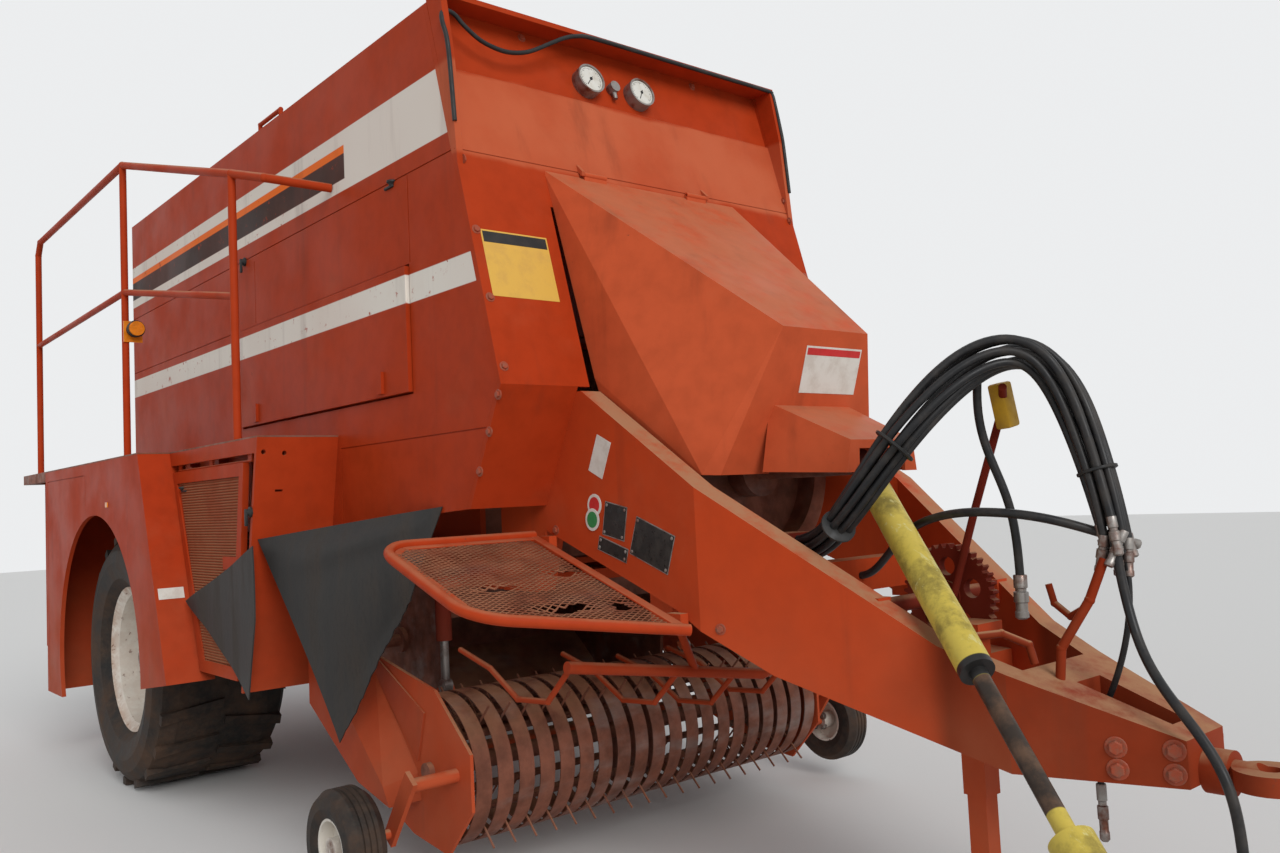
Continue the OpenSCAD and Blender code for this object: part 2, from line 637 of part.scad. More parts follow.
module grille_door_left() color(red) grille_door();
module grille_door_right() color(red) right() grille_door();

module deck() color(dark_red) both_sides() {
    x0 = body_half_w + slip;
    block([x0, step_front_y, deck_z - 3], [grille_half_w, step_rear_y, deck_z + 3]);
    block([x0, step_rear_y - 1, deck_z - 3], [guard_half_w, shell_rear_y, deck_z + 3]);
    xi = chamber_out_x + 186;
    block([xi, shell_rear_y - 1, deck_z - 3], [guard_half_w, 3040, deck_z + 3]);
    block([xi, shell_rear_y, deck_z - 50], [xi + 40, 3040, deck_z - 2]);
    block([guard_half_w - 40, shell_rear_y, deck_z - 50], [guard_half_w, 3040, deck_z - 2]);
    block([xi, 3000, deck_z - 50], [guard_half_w, 3040, deck_z - 2]);
}

rail_out_x = 1215;
rail_r = 17;
rail_front_y = -68;
rail_mid_y = 1139;
rail_back_y = 2960;
rail_top_high = 2985;
rail_top_low = 2640;

module handrails() color(red) both_sides() {
    x = rail_out_x - rail_r;
    xf = grille_half_w - rail_r - 4;
    foot = deck_z + 3;
    back = [x, rail_back_y, rail_top_high - 70];
    tube_run([[body_half_w + 2.6, -330, 2560], [xf - 40, -300, 2570], [xf, rail_front_y, rail_top_low],
        [x, rail_mid_y, rail_top_high], [x, rail_back_y - 60, rail_top_high], back,
        [x, rail_back_y, foot]], rail_r);
    tube([xf, rail_front_y, 2150], [x, rail_mid_y, 2370], rail_r - 2);
    tube([x, rail_mid_y, 2370], [x, rail_back_y, 2365], rail_r - 2);
    tube([xf, rail_front_y, foot], [xf, rail_front_y, rail_top_low], rail_r - 1);
    tube([x, rail_mid_y, foot], [x, rail_mid_y, rail_top_high], rail_r - 1);
}

module ladder() color(red) both_sides() {
    for (x = [760, 1140]) tube_run([[x, 3068, deck_z - 30], [x, 3068, 560]], 16);
    for (z = [600, 850, 1100, 1350]) bar_x(760, 1140, [3068, z], 14, 16);
    for (x = [760, 1140]) block([x - 10, 3040.2, deck_z - 60], [x + 10, 3070, deck_z - 20]);
}

// Wheels

module rim() rotate([0, 90, 0]) rotate_extrude($fn = round_fn) polygon([
    [spindle_r + slip, hub_in_x], [95, hub_in_x], [95, hub_out_x - 110], [200, hub_out_x - 130],
    [rim_r - 20, hub_out_x - 150], [rim_r - 20, wheel_in_x + 90], [rim_r + 16, wheel_in_x + 60],
    [rim_r + 16, wheel_in_x + 66], [rim_r, wheel_in_x + 100], [rim_r, wheel_out_x - 100],
    [rim_r + 16, wheel_out_x - 66], [rim_r + 16, wheel_out_x - 60], [rim_r - 20, wheel_out_x - 90],
    [rim_r - 20, hub_out_x - 130], [200, hub_out_x - 110], [95, hub_out_x - 90], [95, hub_out_x + 40],
    [60, hub_out_x + 60], [0, hub_out_x + 60], [0, hub_out_x - 28], [spindle_r + slip, hub_out_x - 28]]);

module at_wheel() translate([0, axle_y, axle_z]) children();
module rim_left() color(white) at_wheel() rim();
module rim_right() color(white) right() at_wheel() rim();

module tyre() rotate([0, 90, 0]) rotate_extrude($fn = round_fn) polygon([
    [rim_r + slip, wheel_in_x + 101], [rim_r + 17, wheel_in_x + 66.5], [rim_r + 60, wheel_in_x + 20],
    [rim_r + 140, wheel_in_x], [tyre_r - 80, wheel_in_x + 8], [tyre_r - lug_h - 22, wheel_in_x + 40],
    [tyre_r - lug_h - 4, wheel_in_x + 110], [tyre_r - lug_h - 4, wheel_out_x - 110], [tyre_r - lug_h - 22, wheel_out_x - 40],
    [tyre_r - 80, wheel_out_x - 8], [rim_r + 140, wheel_out_x], [rim_r + 60, wheel_out_x - 20],
    [rim_r + 17, wheel_out_x - 66.5], [rim_r + slip, wheel_out_x - 101]]);

// Worn lugs: two staggered rows, slanting back from the middle to the shoulder
lug_count = 20;
lug_h = 13;
lug_half = 24;
lug_plan = [[8, -lug_half], [8, lug_half - 6], [tyre_w / 2 - 104, lug_half + 34], [tyre_w / 2 - 34, lug_half + 46],
    [tyre_w / 2 - 34, -lug_half + 46], [tyre_w / 2 - 104, -lug_half + 30]];
lug_top = sqrt(tyre_r * tyre_r - (lug_half + 46) * (lug_half + 46));

module lugs() for (side = [1, -1], i = [0 : lug_count - 1])
    rotate([(i + (side > 0 ? 0 : 0.5)) * 360 / lug_count, 0, 0]) translate([(wheel_in_x + wheel_out_x) / 2, 0, -lug_top])
        linear_extrude(lug_h + 22) polygon([for (p = side > 0 ? lug_plan : [for (k = [len(lug_plan) - 1 : -1 : 0]) lug_plan[k]])
            [side * p[0], p[1]]]);

module tyre_left() color(rubber) at_wheel() { tyre(); lugs(); }
module tyre_right() color(rubber) right() at_wheel() { tyre(); lugs(); }

// Pickup

end_t = 12;
end_x = pickup_half_w + end_t;

cross_at = [-600, 340];

module pickup_frame() color(red) {
    both_sides() {
        difference() {
            side_plate([[pivot_y + 50, pivot_z - 40], [pivot_y + 50, pivot_z + 50], [pivot_y - 40, pivot_z + 60],
                [reel_y - 40, reel_z + band_r + 20], [reel_y - band_r - 5, reel_z + 90], [reel_y - band_r - 5, reel_z - 90],
                [reel_y - 100, reel_z - band_r - 5], [reel_y + 130, reel_z - band_r + 20], [cross_at[0] + 40, cross_at[1] - 45], [cross_at[0] + 60, cross_at[1] + 40]],
                pickup_half_w, end_t);
            bar_x(pickup_half_w - 1, end_x + 1, [pivot_y, pivot_z], pivot_r + slip, round_fn);
            bar_x(pickup_half_w - 1, end_x + 1, [reel_y, reel_z], 30 + slip, round_fn);
        }
        // stub axle of the gauge wheel and its arm
        bar_x(end_x - 1, 1010, [gauge_y - 130, gauge_z + 170], 22, small_fn);
        side_plate([[gauge_y - 170, gauge_z + 180], [gauge_y - 120, gauge_z + 215], [gauge_y + 40, gauge_z - 10],
            [gauge_y - 10, gauge_z - 40]], 1000, 16);
        bar_x(1008, gauge_out_x - 30, [gauge_y, gauge_z], gauge_pin_r, round_fn);
    }
    // rear cross tube of the pickup
    bar_x(-pickup_half_w - 1, pickup_half_w + 1, cross_at, 32, small_fn);
    // lugs of the lift cylinders
    both_sides() side_plate([[cross_at[0] - 20, cross_at[1]], [cross_at[0] + 20, cross_at[1]], [-600, 600], [-690, 640], [-715, 600],
        [-625, 540]], lift_x - lift_eye_w / 2 - slip - 15, 15);
}

gauge_y = -1036;
gauge_z = 251;
gauge_out_x = 1228;
gauge_w = 130;
gauge_pin_r = 16;
gauge_rim_r = 92;

module gauge_rim() translate([0, gauge_y, gauge_z]) rotate([0, 90, 0]) rotate_extrude($fn = 48) polygon([
    [gauge_pin_r + slip, gauge_out_x - gauge_w - 10], [34, gauge_out_x - gauge_w - 10], [34, gauge_out_x - 70],
    [gauge_rim_r - 8, gauge_out_x - 76], [gauge_rim_r - 8, gauge_out_x - gauge_w + 14],
    [gauge_rim_r, gauge_out_x - gauge_w + 14], [gauge_rim_r, gauge_out_x - 14], [gauge_rim_r - 8, gauge_out_x - 14],
    [gauge_rim_r - 8, gauge_out_x - 62], [34, gauge_out_x - 56], [34, gauge_out_x - 14], [0, gauge_out_x - 14],
    [0, gauge_out_x - 28], [gauge_pin_r + slip, gauge_out_x - 28]]);

module gauge_tyre() translate([0, gauge_y, gauge_z]) rotate([0, 90, 0]) rotate_extrude($fn = 48) polygon([
    [gauge_rim_r + slip, gauge_out_x - gauge_w + 12], [gauge_rim_r + 30, gauge_out_x - gauge_w],
    [gauge_r - 20, gauge_out_x - gauge_w + 4], [gauge_r, gauge_out_x - gauge_w + 30],
    for (g = [42 : 20 : 82], c = [[0, 0], [5, 2], [5, 5], [0, 7]])
        [gauge_r - c[0], gauge_out_x - gauge_w + g + c[1]],
    [gauge_r, gauge_out_x - 30], [gauge_r - 20, gauge_out_x - 4], [gauge_rim_r + 30, gauge_out_x], [gauge_rim_r + slip, gauge_out_x - 12]]);

module gauge_rim_left() color(white) gauge_rim();
module gauge_rim_right() color(white) right() gauge_rim();
module gauge_tyre_left() color(rubber) gauge_tyre();
module gauge_tyre_right() color(rubber) right() gauge_tyre();

shield_in_x = end_x + slip;
shield_out_x = 930;

module end_shields() color(red) both_sides() {
    xo = shield_out_x;
    xi = shield_in_x;
    yr = -240;
    around([[xo, yr, 560], [xo, yr, 740], [xo, -576, 560], [xo, -829, 345], [xo, -870, 283], [xo, -640, 330],
        [xi, yr, 560], [xi, yr, 860], [xi, -616, 723], [xi, -915, 390], [xi, -930, 300], [xi, -640, 330]]);
    side_plate([[-300, 830], [-593, 776], [-978, 597], [-926, 432], [-616, 700]], xi, 6);
}

band_pitch = 2 * pickup_half_w / band_count;
band_w = band_pitch - 24;
band_tail = 346;

module stripper_bands() color(rust) {
    for (i = [0 : band_count - 1]) translate([-pickup_half_w + (i + 0.5) * band_pitch - band_w / 2, reel_y, reel_z])
        rotate([90, 0, 90]) {
            rotate([0, 0, 60]) rotate_extrude(angle = 250, $fn = round_fn)
                translate([band_r - 4, 0]) square([4, band_w]);
            // tail of the band that runs back to the feed duct
            linear_extrude(band_w) polygon([[band_r * cos(60) - 6, band_r * sin(60) - 4], [band_r * cos(60), band_r * sin(60)],
                [band_tail, 110], [band_tail, 106]]);
        }
    // angle that carries the bands
    block([-pickup_half_w, reel_y + band_tail - 16, reel_z + 40], [pickup_half_w, reel_y + band_tail + 4, reel_z + 112]);
}

module reel() color(steel) {
    bar_x(-end_x - 20, end_x + 20, [reel_y, reel_z], 30, round_fn);
    for (k = [0 : 3]) {
        a = 45 + 90 * k;
        bar_x(-pickup_half_w + 20, pickup_half_w - 20, [reel_y + 170 * cos(a), reel_z + 170 * sin(a)], 14, 12);
        for (i = [0 : band_count]) if (i > 0 && i < band_count)
            translate([-pickup_half_w + i * band_pitch, reel_y, reel_z]) rotate([a - 90, 0, 0])
                translate([0, 0, 165]) cylinder(h = tine_r - 165, r = 4, $fn = 6);
    }
    for (x = [-pickup_half_w + 30, 0, pickup_half_w - 40]) bar_x(x, x + 8, [reel_y, reel_z], 190, 32);
}

// Windguard ahead of the pickup

wind_y = -1740;
wind_mid_z = 680;
wind_end_z = 810;
wind_half_w = 800;
wind_pivot_z = 930;
wind_pivot_y = -1800;
wind_bracket_x = tongue_x(wind_pivot_y) - beam_w + 10;

module windguard() color(red) {
    r = 18;
    both_sides() {
        tube([-4, wind_y, wind_mid_z - 1], [wind_half_w, wind_y, wind_end_z], r);
        bar_x(wind_bracket_x - 30, wind_bracket_x - slip, [wind_pivot_y, wind_pivot_z], 16, small_fn);
        tube([wind_bracket_x - 16, wind_pivot_y, wind_pivot_z], [300, wind_y, wind_mid_z + 49], 13);
        for (i = [1.5, 4.5, 9.5]) {
            x = i * band_pitch;
            z = wind_mid_z + (wind_end_z - wind_mid_z) * x / wind_half_w;
            tube_run([[x, wind_y, z], [x, wind_y + 120, z - 110], [x, wind_y + 280, z - 120], [x, wind_y + 430, z - 40],
                [x, wind_y + 610, z + 5]], 9, 16);
        }
    }
}

// Guards of tube and mesh beside the tongue

guard_rear_y = -1266;
guard_front_in_y = -2015;
guard_front_out_y = -1790;
guard_out_x = 1140;
guard_rear_z = 1174;
guard_fall = 0.356;
function guard_z(y) = guard_rear_z + guard_fall * (y - guard_rear_y);

guard_turn = atan(guard_fall);
guard_r = 17;
guard_gap = 45;
guard_strip = 15;
// Expanded mesh: pitch along X and along the slope, width of a strand and thickness
mesh_x = 86;
mesh_y = 44;
mesh_strand = 9;
mesh_t = 6;

// Outline of the guard in its own sloping plane: Y is measured along the slope from its rear edge
module guards() color(red) both_sides() translate([0, guard_rear_y, guard_rear_z]) rotate([guard_turn, 0, 0]) {
    xi = tongue_half_w + guard_gap;
    k = 1 / cos(guard_turn);
    front_in = (guard_front_in_y - guard_rear_y) * k;
    front_out = (guard_front_out_y - guard_rear_y) * k;
    c = [[xi, 0], [guard_out_x - 60, 0], [guard_out_x, -60], [guard_out_x, front_out + 60],
        [guard_out_x - 60, front_out - 20], [xi, front_in]];
    tube_run([for (p = c) [p[0], p[1], 0]], guard_r);
    translate([xi - guard_strip, front_in - 15, -3]) cube([guard_strip * 2, 30 - front_in, 6]);
    // expanded mesh: diamonds in staggered rows, left whole along the tubes
    hx = mesh_x / 2 - mesh_strand;
    hy = mesh_y / 2 - mesh_strand / 2;
    translate([0, 0, -mesh_t / 2]) linear_extrude(mesh_t) difference() {
        polygon(c);
        for (row = [1 : floor(-front_in / mesh_y * 2)], col = [0 : floor((guard_out_x - xi) / mesh_x)]) {
            x = xi + guard_strip + 20 + hx + mesh_x * (col + (row % 2) / 2);
            y = -row * mesh_y / 2 - 10;
            slope = (front_out - 20 - front_in) / (guard_out_x - 60 - xi);
            low = x + hx < guard_out_x - 60 ? front_in + (x - xi) * slope + abs(slope) * hx : front_out + 60;
            if (x + hx < guard_out_x - 24 && y + hy < -20 && y - hy > low + 24)
                translate([x, y]) polygon([[-hx, 0], [0, -hy], [hx, 0], [0, hy]]);
        }
    }
}

flap_t = 8;

// Rubber flap from the foot of the side panel to the corner of the lower shell
module flaps() color(flap_grey) both_sides() {
    a = [body_half_w + slip, -1109, 1286];
    b = [1112, grille_front_y(1196) - shell_t - slip, 1196];
    c = [997, -690, 495];
    d = [884, -979, 978];
    off = [flap_t * 0.93, -flap_t * 0.37, 0];
    around([for (p = [a, b, c, d]) each [p, p + off]]);
}

// Smaller flap over the foot of the grille door
module small_flap() side_plate([[-298, 1174], [452, 942], [143, 799], [-220, 604], [-298, 900]], grille_half_w + 3, flap_t);
module small_flap_left() color(flap_grey) small_flap();
module small_flap_right() color(flap_grey) right() small_flap();

// Drive

drive_z = 1360;
fly_r = 330;

module gearbox() color(dark_red) {
    block([-300, -1470, drive_z - 180], [300, -1050, drive_z + 230]);
    translate([0, -1469, drive_z]) rotate([90, 0, 0]) cylinder(h = 130, r = 110, $fn = round_fn);
    translate([0, -1598, drive_z]) rotate([90, 0, 0])
        cylinder(h = -fly_rear_y - 1598 + fly_seat, r = fly_shaft_r, $fn = round_fn);
    // feet on the side beams
    both_sides() block([299, -1400, drive_z - 60], [tongue_half_w - beam_w - slip, -1120, drive_z + 20]);
}

fly_rear_y = -1665;
fly_shaft_r = 40;
fly_seat = 40;
pto_ball_r = 42;
joint_y = -2205;

module flywheel() color(dark_red) translate([0, 0, drive_z]) rotate([90, 0, 0]) {
    difference() {
        translate([0, 0, -fly_rear_y]) cylinder(h = 125, r = fly_r, $fn = round_fn);
        translate([0, 0, -fly_rear_y - 1]) cylinder(h = fly_seat + 1 + slip, r = fly_shaft_r + slip, $fn = round_fn);
        translate([0, 0, -fly_rear_y + 50]) difference() {
            cylinder(h = 100, r = fly_r - 60, $fn = round_fn);
            cylinder(h = 100, r = 90, $fn = round_fn);
        }
    }
    translate([0, 0, -fly_rear_y + 124]) cylinder(h = fly_rear_y - 124 - joint_y - pto_ball_r - slip, r = 36, $fn = round_fn);
}

drive_y = -2440;
drive_wheel_z = 960;
drive_shaft_r = 22;
drive_seat = 12;
// Chain wheel: number of teeth and their root and tip radius
drive_teeth = 36;
drive_root_r = 138;
drive_tip_r = 150;
drive_bearing_x = tongue_x(drive_y) - beam_w - 24;

module drive_wheel() color(dark_red) {
    difference() {
        translate([60, drive_y, drive_wheel_z]) rotate([90, 0, 90]) linear_extrude(30) polygon([
            for (i = [0 : drive_teeth - 1], c = [[drive_root_r, 0.1], [drive_tip_r, 0.3], [drive_tip_r, 0.55], [drive_root_r, 0.75]])
                c[0] * [cos((i + c[1]) * 360 / drive_teeth), sin((i + c[1]) * 360 / drive_teeth)]]);
        for (i = [0 : 4]) translate([0, drive_y, drive_wheel_z]) rotate([i * 72 + 20, 0, 0]) bar_x(59, 91, [86, 0], 27, small_fn);
    }
    bar_x(52, 98, [drive_y, drive_wheel_z], 44, round_fn);
    bar_x(-drive_bearing_x - drive_seat, drive_bearing_x + drive_seat, [drive_y, drive_wheel_z], drive_shaft_r, round_fn);
}

pto_top = [0, joint_y, drive_z];
pto_rest = [-285, -2670, 945];
pto_dir = (pto_rest - pto_top) / norm(pto_rest - pto_top);
pto_pin_dir = cross(pto_dir, [0, 0, 1]) / norm(cross(pto_dir, [0, 0, 1]));
pto_pin_half = 50;
pto_guard_len = 870;
pto_bell_at = 1335;
pto_len = 1600;
pto_bore_r = 17.5;
pto_bore_len = 80;

module pto_shaft() color(yellow) {
    translate(pto_top) sphere(r = pto_ball_r, $fn = 32);
    tube(pto_top - pto_pin_dir * pto_pin_half, pto_top + pto_pin_dir * pto_pin_half, 14, round_fn);
    tube(pto_top + pto_dir * 20, pto_top + pto_dir * 80, 30, round_fn);
    tube(pto_top + pto_dir * 79, pto_top + pto_dir * pto_guard_len, 44, round_fn);
    tube(pto_top + pto_dir * (pto_guard_len - 1), pto_top + pto_dir * (pto_bell_at + 1), 22, small_fn);
    difference() {
        tube(pto_top + pto_dir * pto_bell_at, pto_top + pto_dir * pto_len, 50, round_fn);
        tube(pto_top + pto_dir * (pto_len - pto_bore_len), pto_top + pto_dir * (pto_len + 1), pto_bore_r, round_fn);
    }
}

// Hydraulic hoses: parked in an arch over a rod, tied into a bundle, with two that run free

// Points on a route, each with the tube's radius there
module swept(points, radii, sides) {
    n = len(points);
    function way(i) = let (d = points[min(i + 1, n - 1)] - points[max(i - 1, 0)]) d / norm(d);
    function side(i) = let (d = cross(way(i), [1, 0.01, 0])) d / norm(d);
    polyhedron(
        points = [for (i = [0 : n - 1], k = [0 : sides - 1]) points[i]
            + radii[i] * (cos(k * 360 / sides) * cross(side(i), way(i)) + sin(k * 360 / sides) * side(i))],
        faces = concat([[for (k = [0 : sides - 1]) k]],
            [for (i = [0 : n - 2], k = [0 : sides - 1]) [i * sides + k, (i + 1) * sides + k,
                (i + 1) * sides + (k + 1) % sides, i * sides + (k + 1) % sides]],
            [[for (k = [sides - 1 : -1 : 0]) (n - 1) * sides + k]]));
}

hose_r = 12;
hose_block_low = [-300, -2130, 1060.3];
hose_block_high = [-150, -2046, 1160];

// X, Y and Z on each route; the bundle's last column is its radius there
bundle_route = [[-225, -2130.3, 1110, 46], [-225, -2180, 1110, 46], [-250, -2240, 1120, 46], [-285, -2300, 1145, 46],
    [-315, -2360, 1180, 48], [-330, -2420, 1225, 50], [-335, -2475, 1280, 50], [-330, -2525, 1345, 54],
    [-290, -2575, 1420, 60], [-240, -2615, 1490, 68], [-190, -2660, 1548, 76], [-135, -2700, 1595, 84],
    [-80, -2740, 1630, 90], [-35, -2785, 1640, 88], [-5, -2830, 1612, 78], [0, -2868, 1550, 66], [0, -2898, 1465, 58],
    [0, -2922, 1380, 52], [0, -2944, 1300, 48], [0, -2964, 1220, 46], [0, -2975, 1150, 46], [0, -2975, 1120, 46]];
long_route = [[-24, -2985, 1140], [-24, -2990, 1080], [-22, -3000, 1000], [-30, -3022, 900], [-58, -3062, 828],
    [-104, -3130, 765], [-130, -3190, 713], [-140, -3246, 638], [-142, -3270, 560], [-142, -3276, 460], [-142, -3278, 350],
    [-140, -3278, 240], [-134, -3274, 140], [-120, -3262, 70], [-90, -3240, 30], [-45, -3210, 14], [10, -3175, 12.5],
    [65, -3140, 12.5]];
link_route = [[75, -2120.3, 1010], [75, -2160, 1010], [66, -2215, 1055], [40, -2290, 1115], [-20, -2375, 1156],
    [-60, -2460, 1182], [-90, -2540, 1198], [-105, -2605, 1205], [-112, -2670, 1206], [-112, -2735, 1203],
    [-102, -2795, 1196], [-70, -2851, 1182], [-30, -2905, 1160], [0, -2950, 1140]];
slot_route = [[6, -2990, 1140], [4, -3000, 1080], [0, -3006, 1000], [0, -2996, 910], [0, -2968, 815], [0, -2938, 742],
    [0, -2908, 690], [0, -2894, 640], [0, -2893, 580], [0, -2893, 500]];
hang_route = [[-100, -2690, 1600], [-78, -2664, 1520], [-62, -2654, 1440], [-44, -2668, 1350], [-24, -2695, 1270],
    [-8, -2707, 1190], [0, -2710, 1100], [0, -2710, 1020]];
slot_hose_r = 8;

// Points of a route without its radius column
function spots(route) = [for (p = route) [p[0], p[1], p[2]]];

// Valve block on the cross member and the arm that carries the arch
module hose_stand() color(dark_red) {
    block(hose_block_low, hose_block_high);
    tube_run([[30, -2468, 790.3], [30, -2468, 930], [38, -2560, 1200], [25, -2680, 1490], [-50, -2727, 1534]], 11);
}
module hose_bundle() color(rubber) swept(spots(bundle_route), [for (p = bundle_route) p[3]], 10);
module hose_long() color(rubber) swept(long_route, [for (p = long_route) hose_r], 8);
module hose_link() color(rubber) swept(link_route, [for (p = link_route) hose_r], 8);
module hose_slot() color(rubber) swept(slot_route, [for (p = slot_route) slot_hose_r], 8);
module hose_hang() color(rubber) swept(hang_route, [for (p = hang_route) hose_r], 8);

// A coupler's hexagon and sleeve, from the end of a hose along Z
module coupler(length, r) {
    cylinder(h = length * 0.35, r = r * 1.1, $fn = 6);
    translate([0, 0, length * 0.35]) cylinder(h = length * 0.65, r = r, $fn = small_fn);
}

module hose_ends() color(steel) {
    // plugs below the end of the bundle
    for (c = [[26, -2960], [-6, -2946], [31, -2990]]) translate([c[0], c[1], 1119.7]) mirror([0, 0, 1]) coupler(90, 13);
    // ends of the hose through the hitch and of the hanging hose
    translate([0, -2893, 499.7]) mirror([0, 0, 1]) coupler(130, 14);
    translate([0, -2710, 1019.7]) mirror([0, 0, 1]) coupler(110, 20);
    // end of the long hose on the floor
    translate([65, -3140, 16]) rotate([0, 90, 32.5]) translate([0, 0, 0.5]) cylinder(h = 80, r = 14, $fn = small_fn);
}

lift_x = 600;
lift_y = -700;
lift_eye_z = rail_low_z - 15;
lift_barrel_low = 790;
lift_rod_low = 640;
lift_eye_w = 35;

module lift_cylinders() color(dark_red) both_sides() difference() {
    union() {
        bar_x(lift_x - 16, lift_x + 16, [lift_y, lift_eye_z], 19.7, round_fn);
        translate([lift_x, lift_y, lift_barrel_low]) cylinder(h = lift_eye_z - lift_barrel_low, r = 30, $fn = round_fn);
    }
    translate([lift_x, lift_y, lift_barrel_low - 1]) cylinder(h = 130, r = 16 + slip, $fn = round_fn);
}

module lift_rods() color(steel) both_sides() {
    translate([lift_x, lift_y, lift_rod_low]) cylinder(h = 200, r = 16, $fn = round_fn);
    bar_x(lift_x - lift_eye_w / 2, lift_x + lift_eye_w / 2, [lift_y, lift_rod_low - 16], 26, round_fn);
}

// Bale chute, folded up behind the chamber

chute_y = bale_rear_y + 40;
chute_low_z = bale_floor_z - 50;
chute_pin_y = chute_y + 60;
chute_pin_z = chute_low_z - 14;
chute_pin_r = 10;
chute_hinge_x = 250;
chute_hinge_w = 80;

module chute() color(red) {
    block([-bale_half_w, chute_y, chute_low_z], [bale_half_w, chute_y + 30, chute_low_z + chute_len]);
    for (x = [-390, -200, 0, 200, 360]) block([x, chute_y + 29, chute_low_z + 10], [x + 30, chute_y + 80, chute_low_z + chute_len - 10]);
    // hinge knuckles
    both_sides() difference() {
        union() {
            bar_x(chute_hinge_x, chute_hinge_x + chute_hinge_w, [chute_pin_y, chute_pin_z], 20, small_fn);
            block([chute_hinge_x, chute_pin_y - 14, chute_pin_z], [chute_hinge_x + chute_hinge_w, chute_pin_y + 14, chute_low_z + 40]);
            block([chute_hinge_x, chute_y + 29, chute_low_z + 2], [chute_hinge_x + chute_hinge_w, chute_pin_y, chute_low_z + 40]);
        }
        bar_x(chute_hinge_x - 1, chute_hinge_x + chute_hinge_w + 1, [chute_pin_y, chute_pin_z], chute_pin_r + slip, round_fn);
    }
}

lamp_r = 34;
lamp_z = 2190;

module lamps() color(amber) both_sides() {
    // tail lamp, and clearance lamp over the wheel
    block([guard_half_w - 150, shell_rear_y + slip, 900], [guard_half_w - 50, shell_rear_y + 40, 1100]);
    block([guard_half_w + slip, 1184, 1355], [guard_half_w + 5, 1220, 1379]);
    // round lamp and its plate on the post of the handrail
    post_x = rail_out_x - rail_r;
    post_front_y = rail_mid_y - (rail_r - 1) - slip;
    block([post_x - 70, post_front_y - 6, lamp_z - 60], [post_x + 14, post_front_y, lamp_z + 40]);
    translate([post_x - 33, post_front_y - 5, lamp_z]) rotate([90, 0, 0]) cylinder(h = 50, r = lamp_r, $fn = 32);
}

// Pressure gauges: X of each one, and the height and radius of both
gauge_xs = [-170, 80];
gauge_at_z = body_top_z - 160;
gauge_face_r = 60;

// Something that sits on the front panel's recess at an X and a height
module on_front(x, z) translate([x, front_y(z) + recess_d - slip, z]) rotate([90 - front_tilt, 0, 0]) children();

module gauges() color(white) {
    for (x = gauge_xs) on_front(x, gauge_at_z) difference() {
        cylinder(h = 46, r = gauge_face_r, $fn = 48);
        translate([0, 0, 40]) cylinder(h = 7, r = gauge_face_r - 7, $fn = 48);
    }
    // valve between the gauges
    on_front((gauge_xs[0] + gauge_xs[1]) / 2, gauge_at_z + 4) {
        cylinder(h = 34, r = 22, $fn = small_fn);
        translate([0, -48, 17]) rotate([-90, 0, 0]) cylinder(h = 40, r = 9, $fn = small_fn);
    }
}

frame();
axle();
hitch();
tow_eye();
jack_sleeve();
jack_leg();
bale_chamber();
density_rails();
plunger();
knotters();
needles();
feed_duct();
front_panel();
side_panel_right();
side_panel_left();
roof();
cheeks();
hood();
side_door_right();
side_door_left();
lower_shell_right();
lower_shell_left();
grille_door_right();
grille_door_left();
deck();
handrails();
ladder();
rim_right();
rim_left();
tyre_right();
tyre_left();
pickup_frame();
end_shields();
stripper_bands();
reel();
windguard();
gauge_rim_right();
gauge_rim_left();
gauge_tyre_right();
gauge_tyre_left();
guards();
flaps();
small_flap_right();
small_flap_left();
gearbox();
flywheel();
drive_wheel();
pto_shaft();
hose_stand();
hose_bundle();
hose_long();
hose_link();
hose_slot();
hose_hang();
hose_ends();
lift_cylinders();
lift_rods();
chute();
lamps();
gauges();
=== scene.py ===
import math

import bpy
from mathutils import Matrix, Vector


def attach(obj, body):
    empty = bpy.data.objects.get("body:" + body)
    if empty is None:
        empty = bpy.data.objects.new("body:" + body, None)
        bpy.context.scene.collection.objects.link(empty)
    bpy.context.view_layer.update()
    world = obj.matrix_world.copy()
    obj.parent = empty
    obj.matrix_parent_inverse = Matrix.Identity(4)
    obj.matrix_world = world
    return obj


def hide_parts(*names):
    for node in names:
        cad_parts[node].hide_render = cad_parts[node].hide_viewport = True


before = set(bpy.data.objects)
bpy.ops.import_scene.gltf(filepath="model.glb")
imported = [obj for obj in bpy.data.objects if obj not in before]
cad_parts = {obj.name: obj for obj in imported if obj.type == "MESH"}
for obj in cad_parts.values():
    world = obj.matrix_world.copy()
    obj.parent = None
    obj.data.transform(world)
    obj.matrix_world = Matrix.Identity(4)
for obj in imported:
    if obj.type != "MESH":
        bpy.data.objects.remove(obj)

bl_info = {
    "name": "Square baler",
    "version": (1, 0, 0),
    "blender": (4, 5, 0),
    "location": "3D View > Sidebar > Baler",
    "description": "Gives the square baler its worn finishes, fittings, hoses and a plain stage",
    "category": "Object",
}

# Sizes and colours that a user would change


